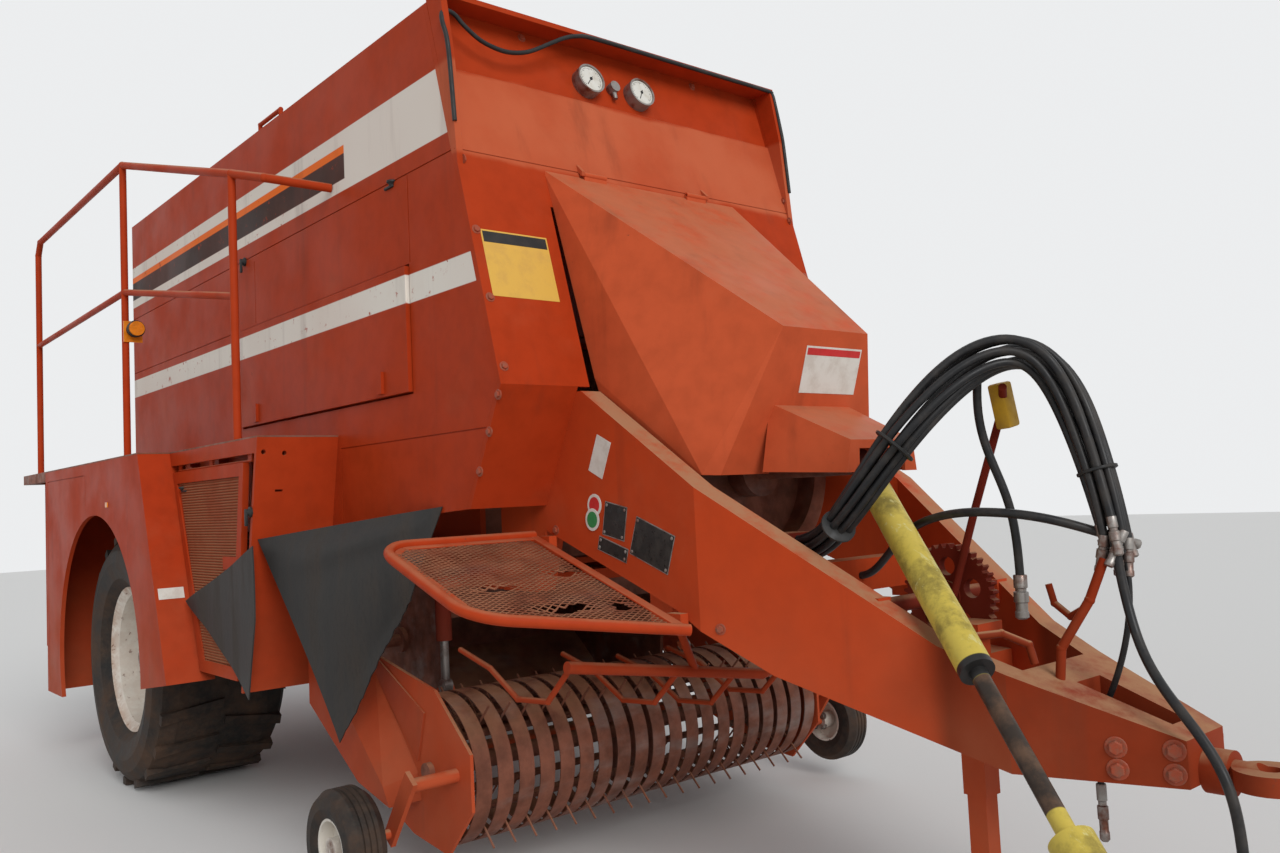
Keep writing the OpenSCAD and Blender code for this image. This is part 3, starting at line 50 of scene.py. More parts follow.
class BalerColours(bpy.types.PropertyGroup):
    """Colours of the baler's paint, rubber, metal and dirt."""

    paint: bpy.props.FloatVectorProperty(
        name="Red paint", description="Faded red of the panels and the frame",
        subtype="COLOR", size=3, min=0, max=1, default=(0.400, 0.040, 0.009))
    dark_paint: bpy.props.FloatVectorProperty(
        name="Dark paint", description="Darker red of the drive and the pickup",
        subtype="COLOR", size=3, min=0, max=1, default=(0.165, 0.018, 0.010))
    dust: bpy.props.FloatVectorProperty(
        name="Dust", description="Dry chaff dust on faces that look upwards",
        subtype="COLOR", size=3, min=0, max=1, default=(0.400, 0.205, 0.110))
    rust: bpy.props.FloatVectorProperty(
        name="Rust", description="Rust where the paint is gone",
        subtype="COLOR", size=3, min=0, max=1, default=(0.144, 0.051, 0.030))
    white: bpy.props.FloatVectorProperty(
        name="White", description="White of the stripes and the rims",
        subtype="COLOR", size=3, min=0, max=1, default=(0.760, 0.710, 0.630))
    orange: bpy.props.FloatVectorProperty(
        name="Orange stripe", description="Thin orange stripe and the reflectors",
        subtype="COLOR", size=3, min=0, max=1, default=(0.871, 0.162, 0.014))
    black: bpy.props.FloatVectorProperty(
        name="Black", description="Black stripe and trim",
        subtype="COLOR", size=3, min=0, max=1, default=(0.024, 0.022, 0.020))
    rubber: bpy.props.FloatVectorProperty(
        name="Tyre rubber", description="Rubber of the tyres",
        subtype="COLOR", size=3, min=0, max=1, default=(0.011, 0.0105, 0.010))
    flap: bpy.props.FloatVectorProperty(
        name="Flap rubber", description="Grey rubber of the hanging flaps",
        subtype="COLOR", size=3, min=0, max=1, default=(0.026, 0.024, 0.0225))
    steel: bpy.props.FloatVectorProperty(
        name="Bare steel", description="Steel rubbed bare",
        subtype="COLOR", size=3, min=0, max=1, default=(0.300, 0.280, 0.260))
    yellow: bpy.props.FloatVectorProperty(
        name="Yellow", description="Plastic guard of the drive shaft",
        subtype="COLOR", size=3, min=0, max=1, default=(0.590, 0.450, 0.075))
    amber: bpy.props.FloatVectorProperty(
        name="Amber", description="Lenses of the lamps",
        subtype="COLOR", size=3, min=0, max=1, default=(0.800, 0.230, 0.010))


class BalerSizes(bpy.types.PropertyGroup):
    """Sizes of the fittings that the dressing adds."""

    bolt_across: bpy.props.FloatProperty(
        name="Bolt head", description="Width of a panel bolt's head",
        unit="LENGTH", min=0.005, max=0.05, default=0.020)
    trim_width: bpy.props.FloatProperty(
        name="Edge trim", description="Width of the black trim on the front flanges",
        unit="LENGTH", min=0.005, max=0.04, default=0.016)


class BalerStage(bpy.types.PropertyGroup):
    """The camera's place and the light."""

    camera_place: bpy.props.FloatVectorProperty(
        name="Camera", description="Place of the camera",
        subtype="TRANSLATION", size=3, unit="LENGTH", default=(-2.639, -4.268, 1.292))
    camera_turn: bpy.props.FloatVectorProperty(
        name="Camera turn", description="Heading to the right of +Y, look up, and roll",
        subtype="EULER", size=3,
        default=(math.radians(40.479), math.radians(3.665), math.radians(-2.748)))
    lens: bpy.props.FloatProperty(
        name="Lens", description="Focal length on a 36 mm sensor",
        unit="CAMERA", min=10, max=100, default=30.24)
    sky: bpy.props.FloatProperty(
        name="Sky light", description="Strength of the even light from all sides",
        min=0, max=2, default=0.52)
    sun: bpy.props.FloatProperty(
        name="Soft sun", description="Strength of the soft lamp from the front",
        min=0, max=5, default=1.9)


# The machine's right side is at negative x
SIDES = ((-1, "right"), (1, "left"))
# Y and z of the main axle and of the gauge wheels' axles
AXLE_AT = (1.446, 0.612)
GAUGE_WHEEL_AT = (-1.036, 0.251)

# Finishes

made_finishes = {}


def colours():
    """The colours that the panel holds."""
    return bpy.context.scene.baler_colours


def shaded(colour, share):
    """A colour made darker, or lighter where the share is over 1."""
    return tuple(share * channel for channel in colour)


class Finish:
    """One material, and short calls that lay out its nodes."""

    def __init__(self, name, roughness=0.6, metallic=0.0, specular=0.28):
        self.material = bpy.data.materials.new(name)
        self.material.use_nodes = True
        self.tree = self.material.node_tree
        self.shader = self.tree.nodes["Principled BSDF"]
        self.shader.inputs["Roughness"].default_value = roughness
        self.shader.inputs["Metallic"].default_value = metallic
        self.shader.inputs["Specular IOR Level"].default_value = specular
        self.place = self.add("ShaderNodeTexCoord").outputs["Object"]
        split = self.add("ShaderNodeSeparateXYZ", {0: self.place})
        self.axis = {letter: split.outputs[letter] for letter in "XYZ"}
        made_finishes[name] = self.material

    def add(self, kind, inputs=None, **settings):
        """Add a node, set it and fill its sockets with numbers, colours or links."""
        made = self.tree.nodes.new(kind)
        for key, value in settings.items():
            setattr(made, key, value)
        for key, value in (inputs or {}).items():
            self.feed(made.inputs[key], value)
        return made

    def feed(self, socket, value):
        """Link a socket to another, or set its number or colour."""
        if isinstance(value, bpy.types.NodeSocket):
            self.tree.links.new(value, socket)
        elif hasattr(value, "__len__") and len(value) == 3 and socket.type == "RGBA":
            socket.default_value = (*value, 1.0)
        else:
            socket.default_value = value

    def maths(self, how, a, b=0.0):
        """One step of arithmetic on two values."""
        return self.add("ShaderNodeMath", {0: a, 1: b}, operation=how).outputs[0]

    def times(self, *values):
        """The product of some values."""
        made = values[0]
        for value in values[1:]:
            made = self.maths("MULTIPLY", made, value)
        return made

    def noise(self, scale, detail=4.0, rough=0.55, stretch=(1, 1, 1), shift=(0, 0, 0)):
        """Noise that is drawn out along an axis where its stretch is small."""
        place = self.add("ShaderNodeMapping", {"Vector": self.place, "Scale": stretch, "Location": shift})
        return self.add(
            "ShaderNodeTexNoise",
            {"Vector": place.outputs[0], "Scale": scale, "Detail": detail, "Roughness": rough},
        ).outputs[0]

    def ramp(self, value, low, high, start=0.0, end=1.0):
        """A smooth rise from start to end as the value goes from low to high."""
        return self.add(
            "ShaderNodeMapRange",
            {"Value": value, "From Min": low, "From Max": high, "To Min": start, "To Max": end},
            interpolation_type="SMOOTHSTEP",
        ).outputs[0]

    def band(self, value, low, high, soft=0.002):
        """One between low and high, and zero outside."""
        return self.times(self.ramp(value, low - soft, low + soft),
                          self.ramp(value, high - soft, high + soft, 1.0, 0.0))

    def blend(self, share, a, b):
        """Colour a where the share is zero and colour b where it is one."""
        return self.add("ShaderNodeMix", {0: share, 6: a, 7: b}, data_type="RGBA").outputs[2]

    def mottled(self, colour, share=0.86):
        """A colour that is a little darker in patches of a hand's size."""
        return self.blend(self.ramp(self.noise(14.0, 4), 0.3, 0.8), tuple(colour), shaded(colour, share))

    def facing_up(self, low=0.35, high=0.9):
        """How far the surface looks upwards."""
        normal = self.add("ShaderNodeNewGeometry").outputs["Normal"]
        up = self.add("ShaderNodeSeparateXYZ", {0: normal}).outputs["Z"]
        return self.ramp(up, low, high)

    def from_axle(self, y, z):
        """Distance from a line along X through y and z."""
        across = self.maths("SUBTRACT", self.axis["Y"], y)
        above = self.maths("SUBTRACT", self.axis["Z"], z)
        squared = self.maths("ADD", self.times(across, across), self.times(above, above))
        return self.maths("SQRT", squared)

    def bumps(self, height, strength=0.3, distance=0.004):
        """Raise and lower the surface's shading by a height."""
        made = self.add("ShaderNodeBump", {"Height": height, "Strength": strength, "Distance": distance})
        self.feed(self.shader.inputs["Normal"], made.outputs[0])

    def colour(self, value):
        """Set the shader's colour."""
        self.feed(self.shader.inputs["Base Color"], value)

    def roughness(self, value):
        """Set how dull the shader is."""
        self.feed(self.shader.inputs["Roughness"], value)


# Old paint: bleached colour, colour of the dirt that runs down it, and how little it shines
BLEACHED_PAINT = (0.50, 0.085, 0.028)
DIRT_RUNS = (0.120, 0.030, 0.016)
WORN_SPECULAR = 0.04
# Heights between which dust from the ground thins out
SPLASH_LOW = 0.35
SPLASH_HIGH = 1.25


def weathered(finish, base, dust_share=0.85, rust_share=1.0, low_dirt=1.0, gloss=0.34):
    """Fade, dirt runs, dust and rust chips over a base colour."""
    hue = colours()
    fade = finish.ramp(finish.noise(0.7, 3), 0.38, 0.7)
    shade = finish.blend(finish.times(fade, 0.14), base, BLEACHED_PAINT)
    runs = finish.ramp(finish.noise(7.0, 5, 0.6, (1, 1, 0.09)), 0.55, 0.76)
    shade = finish.blend(finish.times(runs, 0.30), shade, DIRT_RUNS)
    grime = finish.ramp(finish.noise(2.6, 6, 0.65), 0.52, 0.8)
    shade = finish.blend(finish.times(grime, 0.10), shade, hue.dust)
    near_ground = finish.ramp(finish.axis["Z"], SPLASH_LOW, SPLASH_HIGH, 0.30 * low_dirt, 0.0)
    shade = finish.blend(finish.times(near_ground, finish.noise(4.0, 5)), shade, hue.dust)
    chips = finish.ramp(finish.noise(26.0, 6, 0.7), 0.67, 0.715)
    patches = finish.ramp(finish.noise(1.7, 4, 0.6, shift=(7, 3, 5)), 0.48, 0.66)
    worn = finish.times(chips, patches, rust_share)
    shade = finish.blend(worn, shade, hue.rust)
    drifts = finish.ramp(finish.noise(5.0, 6, 0.7), 0.26, 0.58)
    settled = finish.times(finish.facing_up(), drifts, dust_share)
    shade = finish.blend(settled, shade, hue.dust)
    finish.colour(shade)
    shine = finish.ramp(finish.noise(3.2, 5), 0.3, 0.75, gloss, gloss + 0.22)
    dull = finish.maths("MAXIMUM", shine, finish.times(finish.maths("MAXIMUM", settled, worn), 0.9))
    finish.roughness(dull)
    finish.shader.inputs["Specular IOR Level"].default_value = WORN_SPECULAR
    grain = finish.noise(55.0, 4, 0.6)
    dents = finish.noise(1.3, 2, 0.5, shift=(2, 9, 4))
    height = finish.maths("ADD", finish.times(grain, 0.05), finish.times(dents, 1.6))
    finish.bumps(height, 0.25, 0.010)
    return finish.material


def painted(name, colour, dust_share=0.75, rust_share=1.0, low_dirt=1.0, gloss=0.34):
    """Worn paint of one colour."""
    finish = Finish(name)
    return weathered(finish, finish.mottled(colour), dust_share, rust_share, low_dirt, gloss)


# Heights between which the front panel is bleached, how far they waver, and the colour there
BLEACHED_LOW = 2.440
BLEACHED_HIGH = 2.766
BLEACHED_WAVER = 0.06
BLEACHED_FRONT = (0.52, 0.125, 0.055)


def front_paint():
    """Front panel: bleached and dusty above the hood, with a clean brow."""
    hue = colours()
    finish = Finish("front_paint_dusty")
    base = finish.mottled(hue.paint)
    wavering = finish.maths("ADD", finish.axis["Z"], finish.times(finish.noise(4.0, 5), BLEACHED_WAVER))
    middle = BLEACHED_WAVER / 2
    band = finish.band(wavering, BLEACHED_LOW + middle, BLEACHED_HIGH + middle, 0.012)
    cloud = finish.ramp(finish.noise(2.2, 5, 0.6, shift=(1, 4, 2)), 0.25, 0.65, 0.40, 0.80)
    base = finish.blend(finish.times(band, cloud), base, BLEACHED_FRONT)
    return weathered(finish, base, 0.35, 0.7)


# The frame's red, where it starts and ends turning darker towards the hitch, and its stains
FRAME_RED = (0.480, 0.054, 0.013)
FRAME_DARK_FROM = -2.60
FRAME_DARK_TO = -2.66
FRAME_STAIN = (0.2, 0.03, 0.012)


def frame_paint():
    """Frame: red that turns darker towards the hitch."""
    hue = colours()
    finish = Finish("frame_paint")
    ahead = finish.ramp(finish.axis["Y"], FRAME_DARK_TO, FRAME_DARK_FROM, 1.0, 0.0)
    base = finish.blend(ahead, FRAME_RED, shaded(hue.paint, 0.48))
    stains = finish.ramp(finish.noise(14.0, 4), 0.3, 0.8)
    base = finish.blend(finish.times(stains, 0.16), base, FRAME_STAIN)
    return weathered(finish, base, 0.95, 1.0, 1.0, 0.42)


# Heights of the stripes on the sides, low edge and high edge, and their colours
STRIPES = [
    {"low": 2.702, "high": 2.760, "colour": "white"},
    {"low": 2.670, "high": 2.702, "colour": "orange"},
    {"low": 2.570, "high": 2.670, "colour": "black"},
    {"low": 2.525, "high": 2.570, "colour": "white"},
    {"low": 2.000, "high": 2.100, "colour": "white"},
]
# Ahead of this y the stripes above the middle become one white block
WHITE_BLOCK_END = -0.449
# Only faces further out than this carry stripes
SIDE_X = 0.812


def striped_side():
    """Side panels: red, with the stripes only where the face looks sideways."""
    hue = colours()
    finish = Finish("side_paint_striped")
    base = finish.mottled(hue.paint, 0.84)
    outside = finish.ramp(finish.maths("ABSOLUTE", finish.axis["X"]), SIDE_X - 0.002, SIDE_X)
    forward = finish.ramp(finish.axis["Y"], WHITE_BLOCK_END - 0.002, WHITE_BLOCK_END + 0.002, 1.0, 0.0)
    for stripe in STRIPES:
        in_band = finish.times(outside, finish.band(finish.axis["Z"], stripe["low"], stripe["high"]))
        scuffed = finish.ramp(finish.noise(19.0, 6, 0.75), 0.30, 0.40)
        base = finish.blend(finish.times(in_band, scuffed), base, tuple(getattr(hue, stripe["colour"])))
    top, bottom = STRIPES[0]["high"], STRIPES[3]["low"]
    block = finish.times(outside, forward, finish.band(finish.axis["Z"], bottom, top))
    base = finish.blend(block, base, tuple(hue.white))
    return weathered(finish, base, 0.8, 0.6, 1.0, 0.30)


def iron(name, colour, shine=0.25):
    """Bare iron that has gone brown, rubbed bright where the crop slides."""
    hue = colours()
    finish = Finish(name, 0.6, 0.25)
    shade = finish.blend(finish.ramp(finish.noise(11.0, 6, 0.65), 0.3, 0.7), colour, shaded(colour, 1.9))
    rubbed = finish.times(finish.ramp(finish.noise(6.0, 5, 0.6, (0.3, 1, 1)), 0.5, 0.75), shine)
    shade = finish.blend(rubbed, shade, hue.steel)
    dusty = finish.times(finish.facing_up(0.2, 0.95), finish.ramp(finish.noise(8.0, 6), 0.3, 0.6), 0.6)
    shade = finish.blend(dusty, shade, hue.dust)
    finish.colour(shade)
    finish.roughness(finish.ramp(finish.noise(18.0, 5), 0.3, 0.75, 0.45, 0.85))
    finish.bumps(finish.noise(70.0, 5, 0.7), 0.35, 0.003)
    return finish.material


def tyre_rubber():
    """Tyre rubber under a film of dust."""
    hue = colours()
    finish = Finish("tyre_dusty_rubber", 0.8)
    dust = finish.ramp(finish.noise(3.5, 6, 0.7), 0.35, 0.75)
    fine = finish.ramp(finish.noise(40.0, 4, 0.7), 0.4, 0.7)
    shade = finish.blend(finish.times(dust, 0.20), tuple(hue.rubber), hue.dust)
    shade = finish.blend(finish.times(fine, 0.10), shade, (0.13, 0.105, 0.080))
    finish.colour(shade)
    finish.roughness(finish.ramp(dust, 0.0, 1.0, 0.62, 0.92))
    finish.bumps(finish.noise(90.0, 4, 0.6), 0.3, 0.002)
    return finish.material


def flap_rubber():
    """Grey rubber with runs and fibres."""
    hue = colours()
    finish = Finish("flap_rubber", 0.7)
    runs = finish.ramp(finish.noise(9.0, 5, 0.6, (1, 1, 0.15)), 0.4, 0.75)
    shade = finish.blend(finish.times(runs, 0.30), tuple(hue.flap), (0.11, 0.080, 0.060))
    fibres = finish.ramp(finish.noise(120.0, 3, 0.6, (1, 1, 0.3)), 0.45, 0.7)
    shade = finish.blend(finish.times(fibres, 0.25), shade, shaded(hue.flap, 0.5))
    finish.colour(shade)
    finish.roughness(finish.ramp(runs, 0.0, 1.0, 0.55, 0.85))
    finish.bumps(finish.noise(60.0, 5, 0.7, (1, 1, 0.4)), 0.35, 0.003)
    return finish.material


def rim_white(name, axle, radius):
    """White rim, brown with grease at the hub and with mud at the lip."""
    hue = colours()
    finish = Finish(name, 0.5)
    out = finish.from_axle(*axle)
    spots = finish.noise(16.0, 6, 0.7)
    clouds = finish.ramp(finish.noise(5.0, 5), 0.3, 0.75)
    shade = finish.blend(clouds, tuple(hue.white), shaded(hue.white, 0.82))
    lip = finish.times(finish.ramp(out, radius * 0.80, radius), finish.ramp(spots, 0.3, 0.6))
    shade = finish.blend(finish.times(lip, 0.7), shade, hue.dust)
    near_hub = finish.ramp(out, radius * 0.16, radius * 0.42, 1.0, 0.0)
    hub = finish.times(near_hub, finish.ramp(spots, 0.3, 0.55))
    shade = finish.blend(finish.times(hub, 0.8), shade, (0.14, 0.055, 0.03))
    specks = finish.ramp(finish.noise(32.0, 5, 0.7), 0.62, 0.68)
    shade = finish.blend(finish.times(specks, 0.8), shade, hue.rust)
    finish.colour(shade)
    finish.roughness(finish.ramp(spots, 0.3, 0.7, 0.4, 0.75))
    finish.bumps(finish.noise(40.0, 4), 0.2, 0.003)
    return finish.material


def worn_steel():
    """Bright steel with rust in patches."""
    hue = colours()
    finish = Finish("worn_steel", 0.4, 0.75)
    shade = finish.blend(finish.ramp(finish.noise(9.0, 6, 0.7), 0.42, 0.66), tuple(hue.steel), hue.rust)
    finish.colour(shade)
    finish.roughness(finish.ramp(finish.noise(22.0, 5), 0.3, 0.7, 0.28, 0.75))
    finish.bumps(finish.noise(80.0, 4), 0.2, 0.002)
    return finish.material


# The parked drive shaft: its joint, its direction, and where along it the guard ends, the
# collar ends, the cone at the far end starts and the bare joint at the top ends
SHAFT_TOP = (0.0, -2.205, 1.360)
SHAFT_WAY = (-0.415859, -0.678507, -0.605549)
SHAFT_GUARD_END = 0.850
SHAFT_COLLAR_END = 0.895
SHAFT_CONE_START = 1.270
SHAFT_JOINT_END = 0.095


def yellow_plastic(finish):
    """Yellow plastic, scratched and greasy."""
    hue = colours()
    grease = finish.ramp(finish.noise(7.0, 6, 0.7), 0.45, 0.68)
    shade = finish.blend(finish.times(grease, 0.65), tuple(hue.yellow), (0.06, 0.045, 0.02))
    scratched = finish.ramp(finish.noise(38.0, 4, 0.8, (1, 0.3, 0.3)), 0.6, 0.66)
    return finish.blend(finish.times(scratched, 0.7), shade, (0.62, 0.57, 0.25))


def shaft_finish():
    """Yellow guard, black collar and greasy bare shaft along the drive shaft."""
    finish = Finish("drive_shaft_guarded", 0.45)
    from_top = finish.add("ShaderNodeVectorMath", {0: finish.place, 1: SHAFT_TOP}, operation="SUBTRACT")
    turned_along = finish.add("ShaderNodeVectorMath", {0: from_top.outputs[0], 1: SHAFT_WAY},
                              operation="DOT_PRODUCT")
    along = turned_along.outputs["Value"]
    greasy = finish.ramp(finish.noise(12.0, 5, 0.7), 0.4, 0.7)
    bare = finish.blend(greasy, (0.030, 0.020, 0.014), (0.110, 0.060, 0.035))
    bare_part = finish.band(along, SHAFT_COLLAR_END, SHAFT_CONE_START)
    shade = finish.blend(bare_part, yellow_plastic(finish), bare)
    collar = finish.band(along, SHAFT_GUARD_END, SHAFT_COLLAR_END)
    shade = finish.blend(collar, shade, (0.018, 0.017, 0.016))
    joint = finish.ramp(along, SHAFT_JOINT_END - 0.005, SHAFT_JOINT_END + 0.005, 1.0, 0.0)
    shade = finish.blend(joint, shade, (0.090, 0.020, 0.014))
    finish.colour(shade)
    finish.roughness(finish.ramp(finish.noise(7.0, 6, 0.7), 0.45, 0.68, 0.4, 0.7))
    finish.bumps(finish.noise(50.0, 4), 0.2, 0.002)
    return finish.material


def plain_worn(name, colour, worn_colour, roughness=0.5, scale=12.0, share=0.5, metallic=0.0):
    """A small fitting's finish: one colour, patchy and scuffed."""
    finish = Finish(name, roughness, metallic)
    patches = finish.ramp(finish.noise(scale, 6, 0.7), 0.42, 0.68)
    finish.colour(finish.blend(finish.times(patches, share), tuple(colour), tuple(worn_colour)))
    finish.roughness(finish.ramp(finish.noise(scale * 2, 4), 0.3, 0.7, roughness - 0.1, roughness + 0.2))
    finish.bumps(finish.noise(scale * 5, 4), 0.2, 0.002)
    return finish.material


def lamp_amber():
    """Ribbed amber lens."""
    hue = colours()
    finish = Finish("lamp_amber_lens", 0.18)
    ribs = finish.add("ShaderNodeTexWave", {"Vector": finish.place, "Scale": 45.0, "Distortion": 0.0},
                      bands_direction="Z").outputs[1]
    clouds = finish.ramp(finish.noise(30.0, 4), 0.4, 0.8)
    finish.colour(finish.blend(clouds, tuple(hue.amber), shaded(hue.amber, 0.7)))
    finish.bumps(ribs, 0.4, 0.002)
    finish.shader.inputs["Coat Weight"].default_value = 0.4
    return finish.material


def gauge_face():
    """White dial that has turned yellow in places."""
    finish = Finish("gauge_face_white", 0.3)
    stains = finish.ramp(finish.noise(30.0, 4), 0.4, 0.8)
    finish.colour(finish.blend(stains, (0.66, 0.64, 0.58), (0.52, 0.48, 0.40)))
    return finish.material


def make_finishes():
    """Make every finish once, by name."""
    hue = colours()
    painted("body_paint", hue.paint)
    front_paint()
    frame_paint()
    painted("hitch_paint", shaded(hue.paint, 0.62), 1.0, 1.0, 0.7, 0.45)
    painted("mechanism_dark_red", hue.dark_paint, 0.7, 1.0, 0.8, 0.5)
    striped_side()
    # Hood: the body's red made lighter, as painted light that stands in for the front light falling on the
    # hood
    painted("hood_paint", (0.54, 0.092, 0.033), 0.42, 0.8)
    painted("guard_paint", shaded(hue.paint, 1.06), 0.45, 1.3, 0.5)
    iron("guard_mesh_brown", (0.15, 0.045, 0.022), 0.10)
    painted("windguard_paint", shaded(hue.paint, 0.85), 0.5, 1.6, 0.6, 0.42)
    painted("louvre_dusty", (0.26, 0.060, 0.026), 0.9, 1.3, 1.4, 0.55)
    iron("rusty_iron", tuple(hue.rust))
    iron("crop_polished_iron", shaded(hue.rust, 0.9), 0.55)
    tyre_rubber()
    flap_rubber()
    rim_white("rim_white_main", AXLE_AT, 0.36)
    rim_white("rim_white_small", GAUGE_WHEEL_AT, 0.11)
    worn_steel()
    shaft_finish()
    plain_worn("hose_black", (0.014, 0.014, 0.015), (0.075, 0.062, 0.052), 0.42, 9.0, 0.45)
    plain_worn("black_plastic", (0.016, 0.016, 0.016), (0.06, 0.052, 0.045), 0.5, 20.0, 0.4)
    plain_worn("plate_white", (0.66, 0.63, 0.57), (0.38, 0.30, 0.23), 0.4, 14.0, 0.35)
    plain_worn("plate_yellow", (0.68, 0.40, 0.07), (0.46, 0.25, 0.08), 0.4, 14.0, 0.35)
    plain_worn("disc_red", (0.55, 0.02, 0.02), (0.30, 0.03, 0.02), 0.4, 14.0, 0.3)
    plain_worn("disc_green", (0.03, 0.22, 0.06), (0.03, 0.12, 0.05), 0.4, 14.0, 0.3)
    plain_worn("plate_black", (0.020, 0.019, 0.018), (0.075, 0.065, 0.055), 0.35, 30.0, 0.4, 0.3)
    plain_worn("bolt_painted", (0.33, 0.060, 0.026), (0.20, 0.10, 0.065), 0.45, 70.0, 0.7)
    plain_worn("bolt_steel", (0.22, 0.20, 0.18), (0.15, 0.055, 0.03), 0.4, 60.0, 0.6, 0.7)
    plain_worn("box_yellow", (0.55, 0.30, 0.015), (0.30, 0.16, 0.04), 0.5, 14.0, 0.5)
    lamp_amber()
    gauge_face()


# The finish of each node of the model
FINISH_NODES = {
    "frame_paint": ["frame", "jack_sleeve", "jack_leg", "bale_chamber", "density_rails",
                    "pickup_frame", "chute"],
    "mechanism_dark_red": ["axle", "gearbox", "drive_wheel", "hose_stand", "lift_cylinders"],
    "hitch_paint": ["hitch", "tow_eye"],
    "rusty_iron": ["plunger", "knotters", "deck", "reel", "flywheel"],
    "worn_steel": ["needles", "hose_ends", "lift_rods", "gauges"],
    "crop_polished_iron": ["feed_duct", "stripper_bands"],
    "front_paint_dusty": ["front_panel"],
    "side_paint_striped": ["side_panel_right", "side_panel_left", "side_door_right",
                           "side_door_left"],
    "body_paint": ["roof", "cheeks", "lower_shell_right", "lower_shell_left", "grille_door_right",
                   "grille_door_left", "handrails", "ladder", "end_shields"],
    # The hood's lighter red is painted light
    "hood_paint": ["hood"],
    "rim_white_main": ["rim_right", "rim_left"],
    "tyre_dusty_rubber": ["tyre_right", "tyre_left", "gauge_tyre_right", "gauge_tyre_left"],
    "windguard_paint": ["windguard"],
    "rim_white_small": ["gauge_rim_right", "gauge_rim_left"],
    "guard_paint": ["guards"],
    "flap_rubber": ["flaps", "small_flap_right", "small_flap_left"],
    "drive_shaft_guarded": ["pto_shaft"],
    "hose_black": ["hose_bundle", "hose_long", "hose_link", "hose_slot", "hose_hang"],
    "lamp_amber_lens": ["lamps"],
}


class BALER_OT_finishes(bpy.types.Operator):
    """Make the worn finishes and give them to the model's nodes."""

    bl_idname = "baler.finishes"
    bl_label = "Finishes"

    def execute(self, context):
        make_finishes()
        for finish, nodes in FINISH_NODES.items():
            for node in nodes:
                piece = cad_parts[node]
                if not piece.material_slots:
                    piece.data.materials.append(made_finishes[finish])
                for slot in piece.material_slots:
                    slot.material = made_finishes[finish]
        return {"FINISHED"}


# Short helpers for modelling


def deselect():
    """Leave edit mode and let go of all that is selected."""
    if bpy.context.object and bpy.context.object.mode != "OBJECT":
        bpy.ops.object.mode_set(mode="OBJECT")
    bpy.ops.object.select_all(action="DESELECT")


def hold(piece):
    """Select one piece alone and make it the active one."""
    deselect()
    piece.select_set(True)
    bpy.context.view_layer.objects.active = piece


def flip(piece):
    """Turn all faces of a piece round."""
    hold(piece)
    bpy.ops.object.mode_set(mode="EDIT")
    bpy.ops.mesh.select_all(action="SELECT")
    bpy.ops.mesh.flip_normals()
    bpy.ops.object.mode_set(mode="OBJECT")


def settle(piece, name):
    """Put the place, turn and scale of a piece into its mesh and name it."""
    hold(piece)
    bpy.ops.object.transform_apply(location=True, rotation=True, scale=True)
    piece.name = name
    return piece


def dress(piece, finish, body="chassis", smooth=None):
    """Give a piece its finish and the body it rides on."""
    piece.data.materials.clear()
    piece.data.materials.append(made_finishes[finish])
    if smooth is not None:
        hold(piece)
        bpy.ops.object.shade_smooth_by_angle(angle=math.radians(smooth))
    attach(piece, body)
    return piece


def rounded(piece, width, segments=2, angle=35):
    """Bevel the sharp edges of a piece."""
    hold(piece)
    bevel = piece.modifiers.new("edges", "BEVEL")
    bevel.width = width
    bevel.segments = segments
    bevel.limit_method = "ANGLE"
    bevel.angle_limit = math.radians(angle)
    bpy.ops.object.modifier_apply(modifier="edges")
    return piece


def slab(name, low, high, edge=0.002):
    """A block between two corners with rounded edges."""
    deselect()
    size = [b - a for a, b in zip(low, high)]
    bpy.ops.mesh.primitive_cube_add(size=1, location=[(a + b) / 2 for a, b in zip(low, high)], scale=size)
    return rounded(settle(bpy.context.object, name), edge)


def turned(name, profile, sides=20):
    """A closed turned shape along Z, from rings of a radius and a height."""
    deselect()
    first_radius, first_height = profile[0]
    bpy.ops.mesh.primitive_circle_add(vertices=sides, radius=first_radius, fill_type="NGON",
                                      location=(0, 0, first_height))
    piece = settle(bpy.context.object, name)
    bpy.ops.object.mode_set(mode="EDIT")
    bpy.ops.mesh.select_all(action="SELECT")
    radius, height = first_radius, first_height
    for next_radius, next_height in profile[1:]:
        bpy.ops.mesh.extrude_region_move(TRANSFORM_OT_translate={"value": (0, 0, next_height - height)})
        share = next_radius / radius
        bpy.ops.transform.resize(value=(share, share, 1), center_override=(0, 0, next_height))
        radius, height = next_radius, next_height
    bpy.ops.mesh.select_all(action="SELECT")
    bpy.ops.mesh.normals_make_consistent(inside=False)
    bpy.ops.object.mode_set(mode="OBJECT")
    return piece


def copied(piece, name, place):
    """A copy with its own mesh, moved by a matrix."""
    made = piece.copy()
    made.data = piece.data.copy()
    made.name = name
    made.data.transform(place)
    bpy.context.scene.collection.objects.link(made)
    return made


def joined(pieces, name):
    """Join pieces into one."""
    deselect()
    for piece in pieces:
        piece.select_set(True)
    bpy.context.view_layer.objects.active = pieces[0]
    bpy.ops.object.join()
    pieces[0].name = name
    return pieces[0]


def forget(piece):
    """Take away a pattern piece that was only copied."""
    bpy.data.objects.remove(piece, do_unlink=True)


def facing(place, direction, up=(0, 0, 1)):
    """Matrix that turns Z to a direction and puts the origin at a place."""
    ahead = Vector(direction).normalized()
    side = Vector(up).cross(ahead)
    if side.length < 1e-4:
        side = Vector((1, 0, 0))
    side.normalize()
    above = ahead.cross(side)
    return Matrix.Translation(place) @ Matrix((side, above, ahead)).transposed().to_4x4()


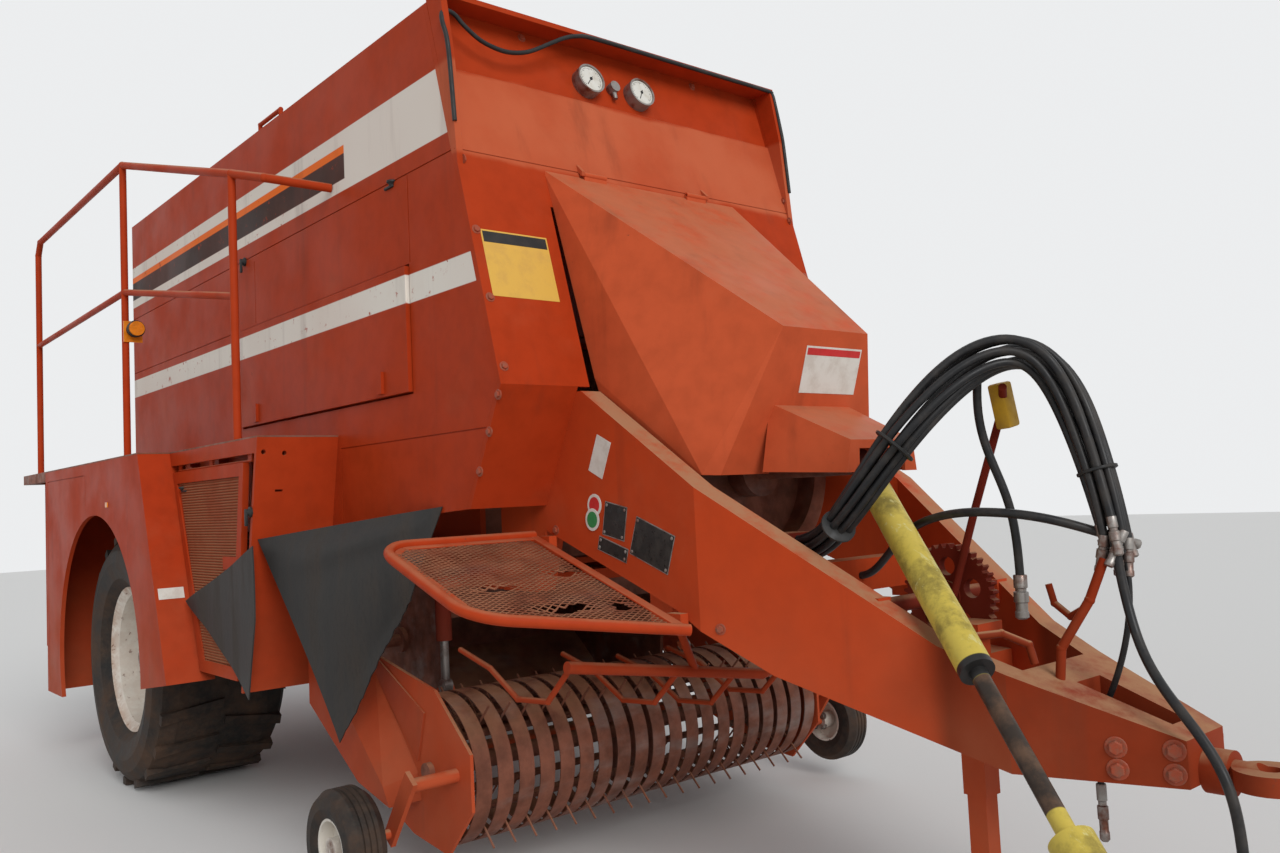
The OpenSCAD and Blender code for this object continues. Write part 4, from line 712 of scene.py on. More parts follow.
def smooth_line(points, steps=4):
    """A smooth line through the points of a route."""
    spots = [Vector(p) for p in points]
    line = []
    for i in range(len(spots) - 1):
        before = spots[max(i - 1, 0)]
        start, end = spots[i], spots[i + 1]
        after = spots[min(i + 2, len(spots) - 1)]
        for k in range(steps):
            t = k / steps
            line.append(0.5 * ((2 * start) + (end - before) * t
                               + (2 * before - 5 * start + 4 * end - after) * t * t
                               + (3 * start - before - 3 * end + after) * t ** 3))
    line.append(spots[-1])
    return line


def tube_along(name, line, diameter, roundness):
    """A curve along a line, as thick as its diameter and closed at both ends."""
    curve = bpy.data.curves.new(name, "CURVE")
    curve.dimensions = "3D"
    curve.bevel_depth = diameter / 2
    curve.bevel_resolution = roundness
    curve.use_fill_caps = True
    spline = curve.splines.new("POLY")
    spline.points.add(len(line) - 1)
    for point, spot in zip(spline.points, line):
        point.co = (*spot, 1)
    piece = bpy.data.objects.new(name, curve)
    bpy.context.scene.collection.objects.link(piece)
    return piece


def rod(name, points, diameter, sides=10, steps=4):
    """A bent round rod or pipe along points, as a mesh."""
    line = smooth_line(points, steps) if steps > 1 else [Vector(p) for p in points]
    hold(tube_along(name, line, diameter, max(0, (sides - 4) // 2)))
    bpy.ops.object.convert(target="MESH")
    return bpy.context.object


# Stage

# Colours of the floor, of the even light and of the plain background
FLOOR_COLOUR = (0.74, 0.73, 0.71)
SKY_COLOUR = (0.93, 0.96, 1.0, 1)
BACKGROUND_COLOUR = (0.84, 0.85, 0.86, 1)
FLOOR_SIZE = 60
# Where the soft lamp's light comes from, and how wide it is in degrees
LAMP_FROM = (-0.24, -0.84, 0.52)
LAMP_WIDTH = 35


class BALER_OT_stage(bpy.types.Operator):
    """Pale floor, even light with a soft lamp, and the camera at the photograph's angle."""

    bl_idname = "baler.stage"
    bl_label = "Stage"

    def execute(self, context):
        scene = context.scene
        sizes = scene.baler_stage
        scene.view_settings.view_transform = "Standard"
        self.add_camera(scene, sizes)
        self.add_floor()
        self.add_light(scene, sizes)
        return {"FINISHED"}

    def add_camera(self, scene, sizes):
        """Camera that stands at the machine's right front corner and looks along its heading."""
        heading, up_angle, roll = sizes.camera_turn
        bpy.ops.object.camera_add(location=sizes.camera_place)
        camera = bpy.context.object
        camera.name = "camera"
        ahead = Vector((math.sin(heading) * math.cos(up_angle),
                        math.cos(heading) * math.cos(up_angle), math.sin(up_angle)))
        right = Vector((math.cos(heading), -math.sin(heading), 0))
        above = right.cross(ahead)
        rolled_right = right * math.cos(roll) + above * math.sin(roll)
        rolled_up = above * math.cos(roll) - right * math.sin(roll)
        turn = Matrix((rolled_right, rolled_up, -ahead)).transposed().to_4x4()
        camera.matrix_world = Matrix.Translation(sizes.camera_place) @ turn
        camera.data.lens = sizes.lens
        camera.data.sensor_width = 36.0
        camera.data.clip_start = 0.05
        camera.data.clip_end = 200.0
        scene.camera = camera

    def add_floor(self):
        """Wide pale floor at the wheels' feet."""
        deselect()
        bpy.ops.mesh.primitive_plane_add(size=FLOOR_SIZE, location=(0, 0, 0))
        floor = bpy.context.object
        floor.name = "floor"
        finish = Finish("floor_pale", 0.9, 0.0, 0.2)
        finish.colour(FLOOR_COLOUR)
        floor.data.materials.append(finish.material)

    def add_light(self, scene, sizes):
        """Even light from all sides, a plain pale background and one soft lamp."""
        world = bpy.data.worlds.new("even_light")
        world.use_nodes = True
        scene.world = world
        tree = world.node_tree
        even = tree.nodes["Background"]
        even.inputs["Color"].default_value = SKY_COLOUR
        even.inputs["Strength"].default_value = sizes.sky
        pale = tree.nodes.new("ShaderNodeBackground")
        pale.inputs["Color"].default_value = BACKGROUND_COLOUR
        pale.inputs["Strength"].default_value = 1.0
        rays = tree.nodes.new("ShaderNodeLightPath")
        seen = tree.nodes.new("ShaderNodeMath")
        seen.operation = "MAXIMUM"
        tree.links.new(rays.outputs["Is Camera Ray"], seen.inputs[0])
        tree.links.new(rays.outputs["Is Glossy Ray"], seen.inputs[1])
        choose = tree.nodes.new("ShaderNodeMixShader")
        tree.links.new(seen.outputs[0], choose.inputs[0])
        tree.links.new(even.outputs[0], choose.inputs[1])
        tree.links.new(pale.outputs[0], choose.inputs[2])
        tree.links.new(choose.outputs[0], tree.nodes["World Output"].inputs["Surface"])
        bpy.ops.object.light_add(type="SUN", location=(-3, -9, 6))
        lamp = bpy.context.object
        lamp.name = "soft_lamp"
        lamp.data.energy = sizes.sun
        lamp.data.angle = math.radians(LAMP_WIDTH)
        lamp.rotation_euler = Vector(LAMP_FROM).to_track_quat("Z", "Y").to_euler()


# Hoses

# Routes of the hoses in metres, the same points as in the part's source. The bundle's last
# column is its radius
BUNDLE_ROUTE = [
    (-0.225, -2.1303, 1.110, 0.046), (-0.225, -2.180, 1.110, 0.046), (-0.250, -2.240, 1.120, 0.046),
    (-0.285, -2.300, 1.145, 0.046), (-0.315, -2.360, 1.180, 0.048), (-0.330, -2.420, 1.225, 0.050),
    (-0.335, -2.475, 1.280, 0.050), (-0.330, -2.525, 1.345, 0.054), (-0.290, -2.575, 1.420, 0.060),
    (-0.240, -2.615, 1.490, 0.068), (-0.190, -2.660, 1.548, 0.076), (-0.135, -2.700, 1.595, 0.084),
    (-0.080, -2.740, 1.630, 0.090), (-0.035, -2.785, 1.640, 0.088), (-0.005, -2.830, 1.612, 0.078),
    (0.000, -2.868, 1.550, 0.066), (0.000, -2.898, 1.465, 0.058), (0.000, -2.922, 1.380, 0.052),
    (0.000, -2.944, 1.300, 0.048), (0.000, -2.964, 1.220, 0.046), (0.000, -2.975, 1.150, 0.046),
    (0.000, -2.975, 1.120, 0.046),
]
LONG_ROUTE = [
    (-0.024, -2.985, 1.140), (-0.024, -2.990, 1.080), (-0.022, -3.000, 1.000), (-0.030, -3.022, 0.900),
    (-0.058, -3.062, 0.828), (-0.104, -3.130, 0.765), (-0.130, -3.190, 0.713), (-0.140, -3.246, 0.638),
    (-0.142, -3.270, 0.560), (-0.142, -3.276, 0.460), (-0.142, -3.278, 0.350), (-0.140, -3.278, 0.240),
    (-0.134, -3.274, 0.140), (-0.120, -3.262, 0.070), (-0.090, -3.240, 0.030), (-0.045, -3.210, 0.014),
    (0.010, -3.175, 0.0125), (0.065, -3.140, 0.0125),
]
LINK_ROUTE = [
    (0.075, -2.1203, 1.010), (0.075, -2.160, 1.010), (0.066, -2.215, 1.055), (0.040, -2.290, 1.115),
    (-0.020, -2.375, 1.156), (-0.060, -2.460, 1.182), (-0.090, -2.540, 1.198), (-0.105, -2.605, 1.205),
    (-0.112, -2.670, 1.206), (-0.112, -2.735, 1.203), (-0.102, -2.795, 1.196), (-0.070, -2.851, 1.182),
    (-0.030, -2.905, 1.160), (0.000, -2.950, 1.140),
]
SLOT_ROUTE = [
    (0.006, -2.990, 1.140), (0.004, -3.000, 1.080), (0.000, -3.006, 1.000), (0.000, -2.996, 0.910),
    (0.000, -2.968, 0.815), (0.000, -2.938, 0.742), (0.000, -2.908, 0.690), (0.000, -2.894, 0.640),
    (0.000, -2.893, 0.580), (0.000, -2.893, 0.500),
]
HANG_ROUTE = [
    (-0.100, -2.690, 1.600), (-0.078, -2.664, 1.520), (-0.062, -2.654, 1.440), (-0.044, -2.668, 1.350),
    (-0.024, -2.695, 1.270), (-0.008, -2.707, 1.190), (0.000, -2.710, 1.100), (0.000, -2.710, 1.020),
]

# Hoses of the bundle: angle round its middle in degrees, how far out at the ends and in the
# arch as shares of the bundle's radius, diameter, and how much it stops short of the end
BUNDLE_HOSES = [
    {"angle": 0, "out_end": 0.70, "out_arch": 0.85, "diameter": 0.024, "short": 0.000},
    {"angle": 46, "out_end": 0.70, "out_arch": 0.72, "diameter": 0.022, "short": 0.020},
    {"angle": 90, "out_end": 0.70, "out_arch": 0.86, "diameter": 0.024, "short": 0.055},
    {"angle": 135, "out_end": 0.70, "out_arch": 0.70, "diameter": 0.022, "short": 0.010},
    {"angle": 180, "out_end": 0.70, "out_arch": 0.60, "diameter": 0.022, "short": 0.035},
    {"angle": 226, "out_end": 0.70, "out_arch": 0.28, "diameter": 0.020, "short": 0.070},
    {"angle": 270, "out_end": 0.70, "out_arch": 0.36, "diameter": 0.022, "short": 0.000},
    {"angle": 315, "out_end": 0.70, "out_arch": 0.62, "diameter": 0.020, "short": 0.045},
    {"angle": 20, "out_end": 0.00, "out_arch": 0.34, "diameter": 0.022, "short": 0.025},
    {"angle": 200, "out_end": 0.24, "out_arch": 0.30, "diameter": 0.018, "short": 0.060},
]
# How the bundle lies: its twist in degrees from end to end, its radius where it is tied and how
# much wider it gets in the arch, the sway of its hoses in degrees, and the rounds of easing
BUNDLE_TWIST = 70
BUNDLE_TIED_RADIUS = 0.046
BUNDLE_WIDENING = 0.040
BUNDLE_SWAY = 9
BUNDLE_EASING = 70
SINGLE_EASING = 24
# Single hoses: the node each stands for, its route, its diameter, and how its coupler is stretched
SINGLE_HOSES = [
    {"name": "floor_hose", "node": "hose_long", "route": LONG_ROUTE, "diameter": 0.024,
     "stretch": (1, 1, 0.86)},
    {"name": "arch_hose", "node": "hose_link", "route": LINK_ROUTE, "diameter": 0.024,
     "stretch": (1, 1, 1)},
    {"name": "slot_hose", "node": "hose_slot", "route": SLOT_ROUTE, "diameter": 0.016,
     "stretch": (1, 1, 1.45)},
    {"name": "hanging_hose", "node": "hose_hang", "route": HANG_ROUTE, "diameter": 0.024,
     "stretch": (1.45, 1.45, 1.2)},
]
# Rings of a coupler from the hose outwards: radius and height
COUPLER_RINGS = [
    (0.0115, 0.010), (0.0125, 0.008), (0.0125, -0.018), (0.0100, -0.020), (0.0100, -0.026),
    (0.0135, -0.028), (0.0135, -0.050), (0.0110, -0.052), (0.0110, -0.070), (0.0125, -0.072),
    (0.0125, -0.084), (0.0080, -0.088),
]
# Straps round the bundle: middle, radius of the bundle there, and its direction
TIES = [
    {"at": (-0.316, -2.362, 1.182), "radius": 0.047, "way": (-0.28, -0.66, 0.42)},
    {"at": (-0.306, -2.556, 1.390), "radius": 0.058, "way": (0.45, -0.52, 0.74)},
    {"at": (0.000, -2.944, 1.300), "radius": 0.048, "way": (0, 0.27, 1)},
]
# Section of a strap, as rings: how far outside the bundle, and height
TIE_RINGS = [(0.0005, -0.004), (0.0025, -0.003), (0.0025, 0.003), (0.0005, 0.004)]


def eased(line, rounds, keep=2):
    """The line with its tight bends eased, held at its first points and its end."""
    spots = list(line)
    for _ in range(rounds):
        moved = list(spots)
        for i in range(keep, len(spots) - 2):
            moved[i] = 0.25 * spots[i - 1] + 0.5 * spots[i] + 0.25 * spots[i + 1]
        spots = moved
    return spots


def bundle_line(hose):
    """The line of one hose, round the middle of the bundle and spread out in its arch."""
    last = len(BUNDLE_ROUTE) - 1
    spots = [Vector(row[:3]) for row in BUNDLE_ROUTE]
    points = []
    for i, (spot, row) in enumerate(zip(spots, BUNDLE_ROUTE)):
        bundle_radius = row[3]
        way = (spots[min(i + 1, last)] - spots[max(i - 1, 0)]).normalized()
        side = way.cross(Vector((1, 0.01, 0))).normalized()
        across = side.cross(way)
        share = i / last
        spread = min(1.0, max(0.0, (bundle_radius - BUNDLE_TIED_RADIUS) / BUNDLE_WIDENING))
        reach = (1 - spread) * hose["out_end"] + spread * hose["out_arch"]
        sway = BUNDLE_SWAY * math.sin(share * 11 + hose["angle"]) * spread
        angle = math.radians(hose["angle"] + BUNDLE_TWIST * share + sway)
        offset = min((bundle_radius - 0.002) * reach, bundle_radius - hose["diameter"] / 2 - 0.001)
        points.append(spot + offset * (math.cos(angle) * across + math.sin(angle) * side))
    points[-1] = points[-1] + Vector((0, 0, hose["short"]))
    # The first stretch leaves its opening straight
    points[0].y = BUNDLE_ROUTE[0][1]
    points[1] = Vector((points[0].x, points[1].y, points[0].z))
    if hose["short"] > 0.02:
        points.pop(-2)
    return eased(smooth_line(points), BUNDLE_EASING)


def hose_piece(name, line, diameter):
    """A curve of one open line, as thick as the hose."""
    piece = tube_along(name, line, diameter, 3)
    piece.data.splines[0].use_smooth = True
    piece.data.materials.append(made_finishes["hose_black"])
    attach(piece, "chassis")
    return piece


class BALER_OT_hoses(bpy.types.Operator):
    """Lay the hydraulic hoses over their arm, each with its coupler."""

    bl_idname = "baler.hoses"
    bl_label = "Hoses"

    def execute(self, context):
        coupler = turned("coupler_pattern", COUPLER_RINGS, 16)
        for number, hose in enumerate(BUNDLE_HOSES, 1):
            line = bundle_line(hose)
            piece = hose_piece(f"bundle_hose_{number}", line, hose["diameter"])
            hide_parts("hose_bundle")
            end = self.add_coupler(coupler, f"bundle_coupler_{number}", line)
            if number == 1:
                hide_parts("hose_ends")
        for hose in SINGLE_HOSES:
            line = eased(smooth_line(hose["route"], 5), SINGLE_EASING)
            piece = hose_piece(hose["name"], line, hose["diameter"])
            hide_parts(hose["node"])
            end = self.add_coupler(coupler, f"{hose['name']}_coupler", line, hose["stretch"])
        forget(coupler)
        self.add_ties()
        return {"FINISHED"}

    def add_coupler(self, pattern, name, line, stretch=(1, 1, 1)):
        """A coupler on the end of a hose, looking along its last stretch."""
        tip = line[-1]
        made = copied(pattern, name, facing(tip, line[-2] - tip))
        larger = Matrix.Diagonal((*stretch, 1))
        made.data.transform(Matrix.Translation(tip) @ larger @ Matrix.Translation(-tip))
        return dress(made, "worn_steel", smooth=40)

    def add_ties(self):
        """Straps round the bundle."""
        for number, tie in enumerate(TIES, 1):
            rings = [(tie["radius"] + out, height) for out, height in TIE_RINGS]
            strap = turned(f"tie_{number}", rings, 24)
            strap.data.transform(facing(tie["at"], tie["way"]))
            dress(strap, "black_plastic", smooth=40)


# Rubber flaps

# Corners of the large flap on the machine's left: the two that hang on the shell's foot,
# the tip, and the corner beside the pickup
FLAP_CORNERS = ((0.8203, -1.109, 1.286), (1.112, -0.2439, 1.196), (0.997, -0.690, 0.495),
                (0.884, -0.979, 0.978))
# The way in which it stands out, and how far it bellies, folds below its top edge, waves and
# curls at its tip
FLAP_OUT = Vector((0.93, -0.37, 0.0))
FLAP_BELLY = 0.034
FLAP_FOLD = 0.016
FLAP_WAVE = 0.006
FLAP_CURL = 0.020
# Corners of the small flap as y and z, and its plane
SMALL_FLAP = ((-0.298, 1.174), (0.452, 0.942), (0.143, 0.799), (-0.220, 0.604), (-0.298, 0.900))
SMALL_FLAP_X = 1.142
# Where its strap lies, how far from it the sheet stays flat, and how much it bulges and ripples
STRAP_Y = -0.03
STRAP_REACH = 0.35
SMALL_FLAP_BULGE = 0.014
SMALL_FLAP_RIPPLE = 0.004
RUBBER_THICKNESS = 0.005


def thickened(piece, thickness, offset=1.0):
    """Give a sheet its thickness."""
    hold(piece)
    wall = piece.modifiers.new("thickness", "SOLIDIFY")
    wall.thickness = thickness
    wall.offset = offset
    bpy.ops.object.modifier_apply(modifier="thickness")
    return piece


def turned_outward(piece, side):
    """Turn all faces of a sheet away from the machine."""
    piece.data.update()
    total = sum((face.normal * face.area for face in piece.data.polygons), Vector())
    if total.x * side < 0:
        flip(piece)


class BALER_OT_flaps(bpy.types.Operator):
    """Hang the worn rubber flaps beside the pickup and on the grille doors."""

    bl_idname = "baler.flaps"
    bl_label = "Rubber flaps"

    def execute(self, context):
        for side, word in SIDES:
            large = self.large_flap(word, side)
            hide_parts("flaps")
            small = self.small_flap(word, side)
            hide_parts(f"small_flap_{word}")
        return {"FINISHED"}

    def large_flap(self, word, side):
        """Four-cornered sheet that bellies out and curls at its tip."""
        a, b, c, d = (Vector(corner) for corner in FLAP_CORNERS)
        deselect()
        bpy.ops.mesh.primitive_grid_add(x_subdivisions=28, y_subdivisions=28, size=1)
        piece = settle(bpy.context.object, f"large_flap_{word}")
        for point in piece.data.vertices:
            u = point.co.x + 0.5
            v = 0.5 - point.co.y
            spot = (1 - v) * ((1 - u) * a + u * b) + v * ((1 - u) * d + u * c)
            belly = FLAP_BELLY * math.sin(math.pi * u) * math.sin(math.pi * min(1, v * 1.15)) ** 0.8
            fold = FLAP_FOLD * math.exp(-((v - 0.16) / 0.07) ** 2) * math.sin(math.pi * u)
            wave = FLAP_WAVE * math.sin(9 * u + 4 * v) * v
            curl = FLAP_CURL * v * v * u
            ragged = 0.003 * math.sin(61 * u + 23 * v) + 0.002 * math.sin(139 * u)
            if v > 0.98:
                spot += ragged * (spot - (a + b) / 2).normalized()
            spot += (belly + fold + wave + curl) * FLAP_OUT
            point.co = (side * spot.x, spot.y, spot.z)
        turned_outward(piece, side)
        thickened(piece, RUBBER_THICKNESS)
        return dress(piece, "flap_rubber", smooth=50)

    def small_flap(self, word, side):
        """Sheet on one grille door's straps, bulging a little between them."""
        deselect()
        bpy.ops.mesh.primitive_circle_add(vertices=len(SMALL_FLAP), radius=1, fill_type="NGON")
        piece = settle(bpy.context.object, f"grille_flap_{word}")
        for point, (y, z) in zip(piece.data.vertices, SMALL_FLAP):
            point.co = (SMALL_FLAP_X, y, z)
        bpy.ops.object.mode_set(mode="EDIT")
        bpy.ops.mesh.select_all(action="SELECT")
        bpy.ops.mesh.quads_convert_to_tris()
        bpy.ops.mesh.subdivide(number_cuts=9)
        bpy.ops.object.mode_set(mode="OBJECT")
        for point in piece.data.vertices:
            y, z = point.co.y, point.co.z
            from_strap = min(1.0, abs(y - STRAP_Y) / STRAP_REACH)
            bulge = (SMALL_FLAP_BULGE + SMALL_FLAP_RIPPLE * math.sin(14 * y + 9 * z)) * from_strap
            point.co.x = side * (SMALL_FLAP_X + max(0.0, bulge))
        turned_outward(piece, side)
        thickened(piece, RUBBER_THICKNESS)
        return dress(piece, "flap_rubber", body=f"grille_door_{word}", smooth=50)

# Fittings on the model's own faces


def on_face(node, near):
    """The nearest place on a node's surface and the way that it looks."""
    found, place, way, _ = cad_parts[node].closest_point_on_mesh(Vector(near))
    if not found:
        raise RuntimeError(f"{node} has no face near {near}")
    return place, way


def seated(piece, name, node, near, up=(0, 0, 1), lift=0.0):
    """A copy of a piece that stands on a node's surface."""
    place, way = on_face(node, near)
    return copied(piece, name, facing(place + way * lift, way, up))


# The front panel's face: y and z of its lower crease, and how far it leans back for each metre up
PANEL_CREASE = (-1.486, 1.656)
PANEL_LEAN = 0.272


def panel_y(z):
    """Y of the front panel's face at a height."""
    return PANEL_CREASE[0] + PANEL_LEAN * (z - PANEL_CREASE[1])


def on_panel(x, z):
    """A place on the front panel's face."""
    return (x, panel_y(z), z)


# Bolt heads on both sides: the node and the body they sit on, and their places on one side
BOLTS = [
    {"node": "front_panel", "body": "chassis",
     "at": [on_panel(0.796, 2.514), on_panel(0.796, 2.423), on_panel(0.798, 2.173),
            on_panel(0.796, 1.941), on_panel(0.795, 1.713), (-0.427, -1.125, 2.985)]},
    {"node": "cheeks", "body": "chassis",
     "at": [(0.900, -1.588, 1.561), (0.900, -1.531, 1.449), (0.900, -1.466, 1.328)]},
    {"node": "hood", "body": "hood",
     "at": [(0.396, -1.585, 1.795), (0.390, -1.610, 1.743), (0.354, -1.742, 1.567),
            (0.350, -1.876, 1.505)]},
    {"node": "frame", "body": "chassis", "at": [(0.500, -2.069, 0.905), (0.524, -1.330, 1.190)]},
]
HITCH_BOLTS = [(0.130, -3.007, 0.650), (0.130, -3.139, 0.651), (0.130, -3.008, 0.599),
               (0.130, -3.137, 0.597)]
# How much larger the hitch's bolts are, and how deep a washer sits in the paint
LARGE_BOLT = 1.55
BOLT_LIFT = -0.0005
# Wheel nuts: rim and body without their side, how far out the rim's face lies, the axle's y
# and z, and the ring's radius and count
WHEEL_NUTS = [
    {"rim": "rim", "body": "wheel", "out": 0.93, "axle": AXLE_AT, "ring": 0.145, "count": 8},
    {"rim": "gauge_rim", "body": "gauge_wheel", "out": 1.05, "axle": GAUGE_WHEEL_AT, "ring": 0.050,
     "count": 4},
]


class BALER_OT_bolts(bpy.types.Operator):
    """Bolt heads on the panels, the hood and the hitch, and the wheel nuts."""

    bl_idname = "baler.bolts"
    bl_label = "Bolts"

    def execute(self, context):
        across = context.scene.baler_sizes.bolt_across
        small = self.bolt_pattern("bolt_pattern", across)
        large = self.bolt_pattern("large_bolt_pattern", LARGE_BOLT * across)
        number = 0
        for row in BOLTS:
            for place in row["at"]:
                number += 1
                self.add_pair(small, f"bolt_{number}", row["node"], row["body"], place)
        for number, place in enumerate(HITCH_BOLTS, 1):
            self.add_pair(large, f"hitch_bolt_{number}", "hitch", "chassis", place)
        for side, word in SIDES:
            for row, pattern in zip(WHEEL_NUTS, (large, small)):
                self.add_wheel_nuts(row, pattern, side, word)
        forget(small)
        forget(large)
        return {"FINISHED"}

    def bolt_pattern(self, name, across):
        """Six-sided head with a chamfer on a round washer."""
        head = turned(f"{name}_head", [(across * 0.56, 0.0), (across * 0.56, across * 0.36),
                                       (across * 0.47, across * 0.44)], 6)
        washer = turned(f"{name}_washer", [(across * 0.82, -0.002), (across * 0.82, across * 0.08),
                                           (across * 0.76, across * 0.12)], 18)
        return joined([washer, head], name)

    def add_pair(self, pattern, name, node, body, place):
        """A bolt head at a place and at its mirror image."""
        x, y, z = place
        for side, word in SIDES:
            made = seated(pattern, f"{name}_{word}", node, (side * x, y, z), lift=BOLT_LIFT)
            dress(made, "bolt_painted", body)

    def add_wheel_nuts(self, row, pattern, side, word):
        """The ring of nuts of one wheel, as one piece."""
        rim = f"{row['rim']}_{word}"
        axle_y, axle_z = row["axle"]
        nuts = []
        for number in range(row["count"]):
            angle = 2 * math.pi * (number + 0.5) / row["count"]
            near = (side * row["out"], axle_y + row["ring"] * math.cos(angle),
                    axle_z + row["ring"] * math.sin(angle))
            nuts.append(seated(pattern, f"{rim}_nut_{number}", rim, near, lift=BOLT_LIFT))
        dress(joined(nuts, f"{rim}_nuts"), "bolt_steel", f"{row['body']}_{word}")


UPRIGHT = (0, 0, 1)
# Plates and labels, all blank: where, width, height, the way of their top, and finish. The
# black ones are riveted. A header is a bar of another colour along the top
PLATES = [
    {"name": "front_label_yellow", "node": "front_panel", "at": on_panel(-0.653, 2.062),
     "wide": 0.262, "high": 0.238, "up": UPRIGHT, "finish": "plate_yellow", "header": "black_plastic"},
    {"name": "hood_label", "node": "hood", "body": "hood", "at": (0.055, -2.066, 1.660),
     "wide": 0.270, "high": 0.150, "up": UPRIGHT, "finish": "plate_white", "header": "disc_red"},
    {"name": "tongue_label_white", "node": "frame", "at": (-0.522, -1.583, 1.421),
     "wide": 0.076, "high": 0.124, "up": (0, -0.42, 0.9), "finish": "plate_white"},
    {"name": "tongue_plate_small", "node": "frame", "at": (-0.522, -1.645, 1.216),
     "wide": 0.104, "high": 0.102, "up": (0, -0.21, 0.98), "finish": "plate_black"},
    {"name": "tongue_plate_low", "node": "frame", "at": (-0.522, -1.629, 1.128),
     "wide": 0.142, "high": 0.040, "up": (0, -0.29, 0.95), "finish": "plate_black"},
    {"name": "tongue_plate_large", "node": "frame", "at": (-0.522, -1.817, 1.142),
     "wide": 0.176, "high": 0.116, "up": (0, -0.34, 0.94), "finish": "plate_black"},
] + [
    {"name": f"shell_reflector_{word}", "node": f"lower_shell_{word}", "at": (side * 1.209, 0.489, 0.977),
     "wide": 0.104, "high": 0.048, "up": UPRIGHT, "finish": "plate_white"}
    for side, word in SIDES
]
LABEL_THICKNESS = 0.0012
PLATE_THICKNESS = 0.0025
# A header's distance from the label's edge, where it starts as a share of the half height, and
# half its thickness
HEADER_INSET = 0.006
HEADER_START = 0.62
HEADER_HALF = 0.0006
# How far the bright edge stands out round a riveted plate, and how far in its rivets sit
PLATE_EDGE = 0.003
RIVET_INSET = 0.008
# Round labels on the tongue: the finish and slot of the middle, and how far the label is lifted
DISC_LABELS = [
    {"name": "tongue_disc_red", "at": (-0.522, -1.545, 1.268), "finish": "disc_red",
     "slot": "paint_red", "lift": 0.0},
    {"name": "tongue_disc_green", "at": (-0.522, -1.534, 1.222), "finish": "disc_green",
     "slot": "gauge_white", "lift": 0.0022},
]
DISC_RADIUS = 0.036
DISC_MIDDLE_RADIUS = 0.026


class BALER_OT_plates(bpy.types.Operator):
    """Blank plates and labels where the real machine carries its signs."""

    bl_idname = "baler.plates"
    bl_label = "Blank plates"

    def execute(self, context):
        for row in PLATES:
            self.add_plate(row)
        self.add_discs()
        return {"FINISHED"}

    def add_plate(self, row):
        """One plate with its header or its rivets."""
        wide, high = row["wide"] / 2, row["high"] / 2
        body = row.get("body", "chassis")
        riveted = row["finish"] == "plate_black"
        thick = PLATE_THICKNESS if riveted else LABEL_THICKNESS
        plate = slab(f"{row['name']}_pattern", (-wide, -high, 0), (wide, high, thick), thick / 3)
        dress(self.placed(plate, row["name"], row), row["finish"], body)
        if "header" in row:
            bar = slab("header_pattern", (-wide + HEADER_INSET, high * HEADER_START, thick - HEADER_HALF),
                       (wide - HEADER_INSET, high - HEADER_INSET, thick + HEADER_HALF), 0.0003)
            header = self.placed(bar, f"{row['name']}_header", row)
            dress(header, row["header"], body)
        if riveted:
            rivets = self.add_rivets(row, wide, high, thick)
            dress(rivets, "worn_steel", body)

    def placed(self, pattern, name, row):
        """A copy of a pattern in the place of a plate, and the pattern taken away."""
        made = seated(pattern, name, row["node"], row["at"], row["up"])
        forget(pattern)
        return made

    def add_rivets(self, row, wide, high, thick):
        """Bright edge and four rivets of a plate, as one piece."""
        edge = slab("edge_pattern", (-wide - PLATE_EDGE, -high - PLATE_EDGE, 0),
                    (wide + PLATE_EDGE, high + PLATE_EDGE, thick * 0.6), 0.0005)
        rivets = [self.placed(edge, "plate_edge", row)]
        head = turned("rivet_pattern", [(0.0055, thick - 0.001), (0.0055, thick + 0.0008),
                                        (0.003, thick + 0.002)], 12)
        for x in (-wide + RIVET_INSET, wide - RIVET_INSET):
            for y in (-high + RIVET_INSET, high - RIVET_INSET):
                moved = copied(head, "rivet_moved", Matrix.Translation((x, y, 0)))
                rivets.append(self.placed(moved, "plate_rivet", row))
        forget(head)
        return joined(rivets, f"{row['name']}_rivets")

    def add_discs(self):
        """Round white labels with a coloured middle."""
        disc = turned("disc_pattern", [(DISC_RADIUS, 0.0), (DISC_RADIUS, 0.0008),
                                       (DISC_RADIUS - 0.001, 0.0012)], 32)
        middle = turned("ring_pattern", [(DISC_MIDDLE_RADIUS, 0.0010), (DISC_MIDDLE_RADIUS, 0.0018)], 32)
        for row in DISC_LABELS:
            made = seated(disc, row["name"], "frame", row["at"], lift=row["lift"])
            dress(made, "plate_white")
            made = seated(middle, f"{row['name']}_middle", "frame", row["at"], lift=row["lift"])
            dress(made, row["finish"])
        forget(disc)
        forget(middle)


# Gauges: the x and the needle's angle of each, their height, the recess behind them, and how
# far the dial stands off it
GAUGES = [{"x": -0.170, "needle": -128}, {"x": 0.080, "needle": -118}]
GAUGE_Z = 2.850
RECESS_DEPTH = 0.012
GAUGE_WAY = Vector((0, -1, PANEL_LEAN)).normalized()
DIAL_LIFT = 0.0405
DIAL_RADIUS = 0.0525
# The scale: radius of the ticks' outer ends, steps, degrees of the first tick and of the whole
# sweep, and the length of a tick and of every fifth
SCALE_RADIUS = 0.047
SCALE_STEPS = 30
SCALE_START = 225
SCALE_SWEEP = 270
TICK_SHORT = 0.005
TICK_LONG = 0.010


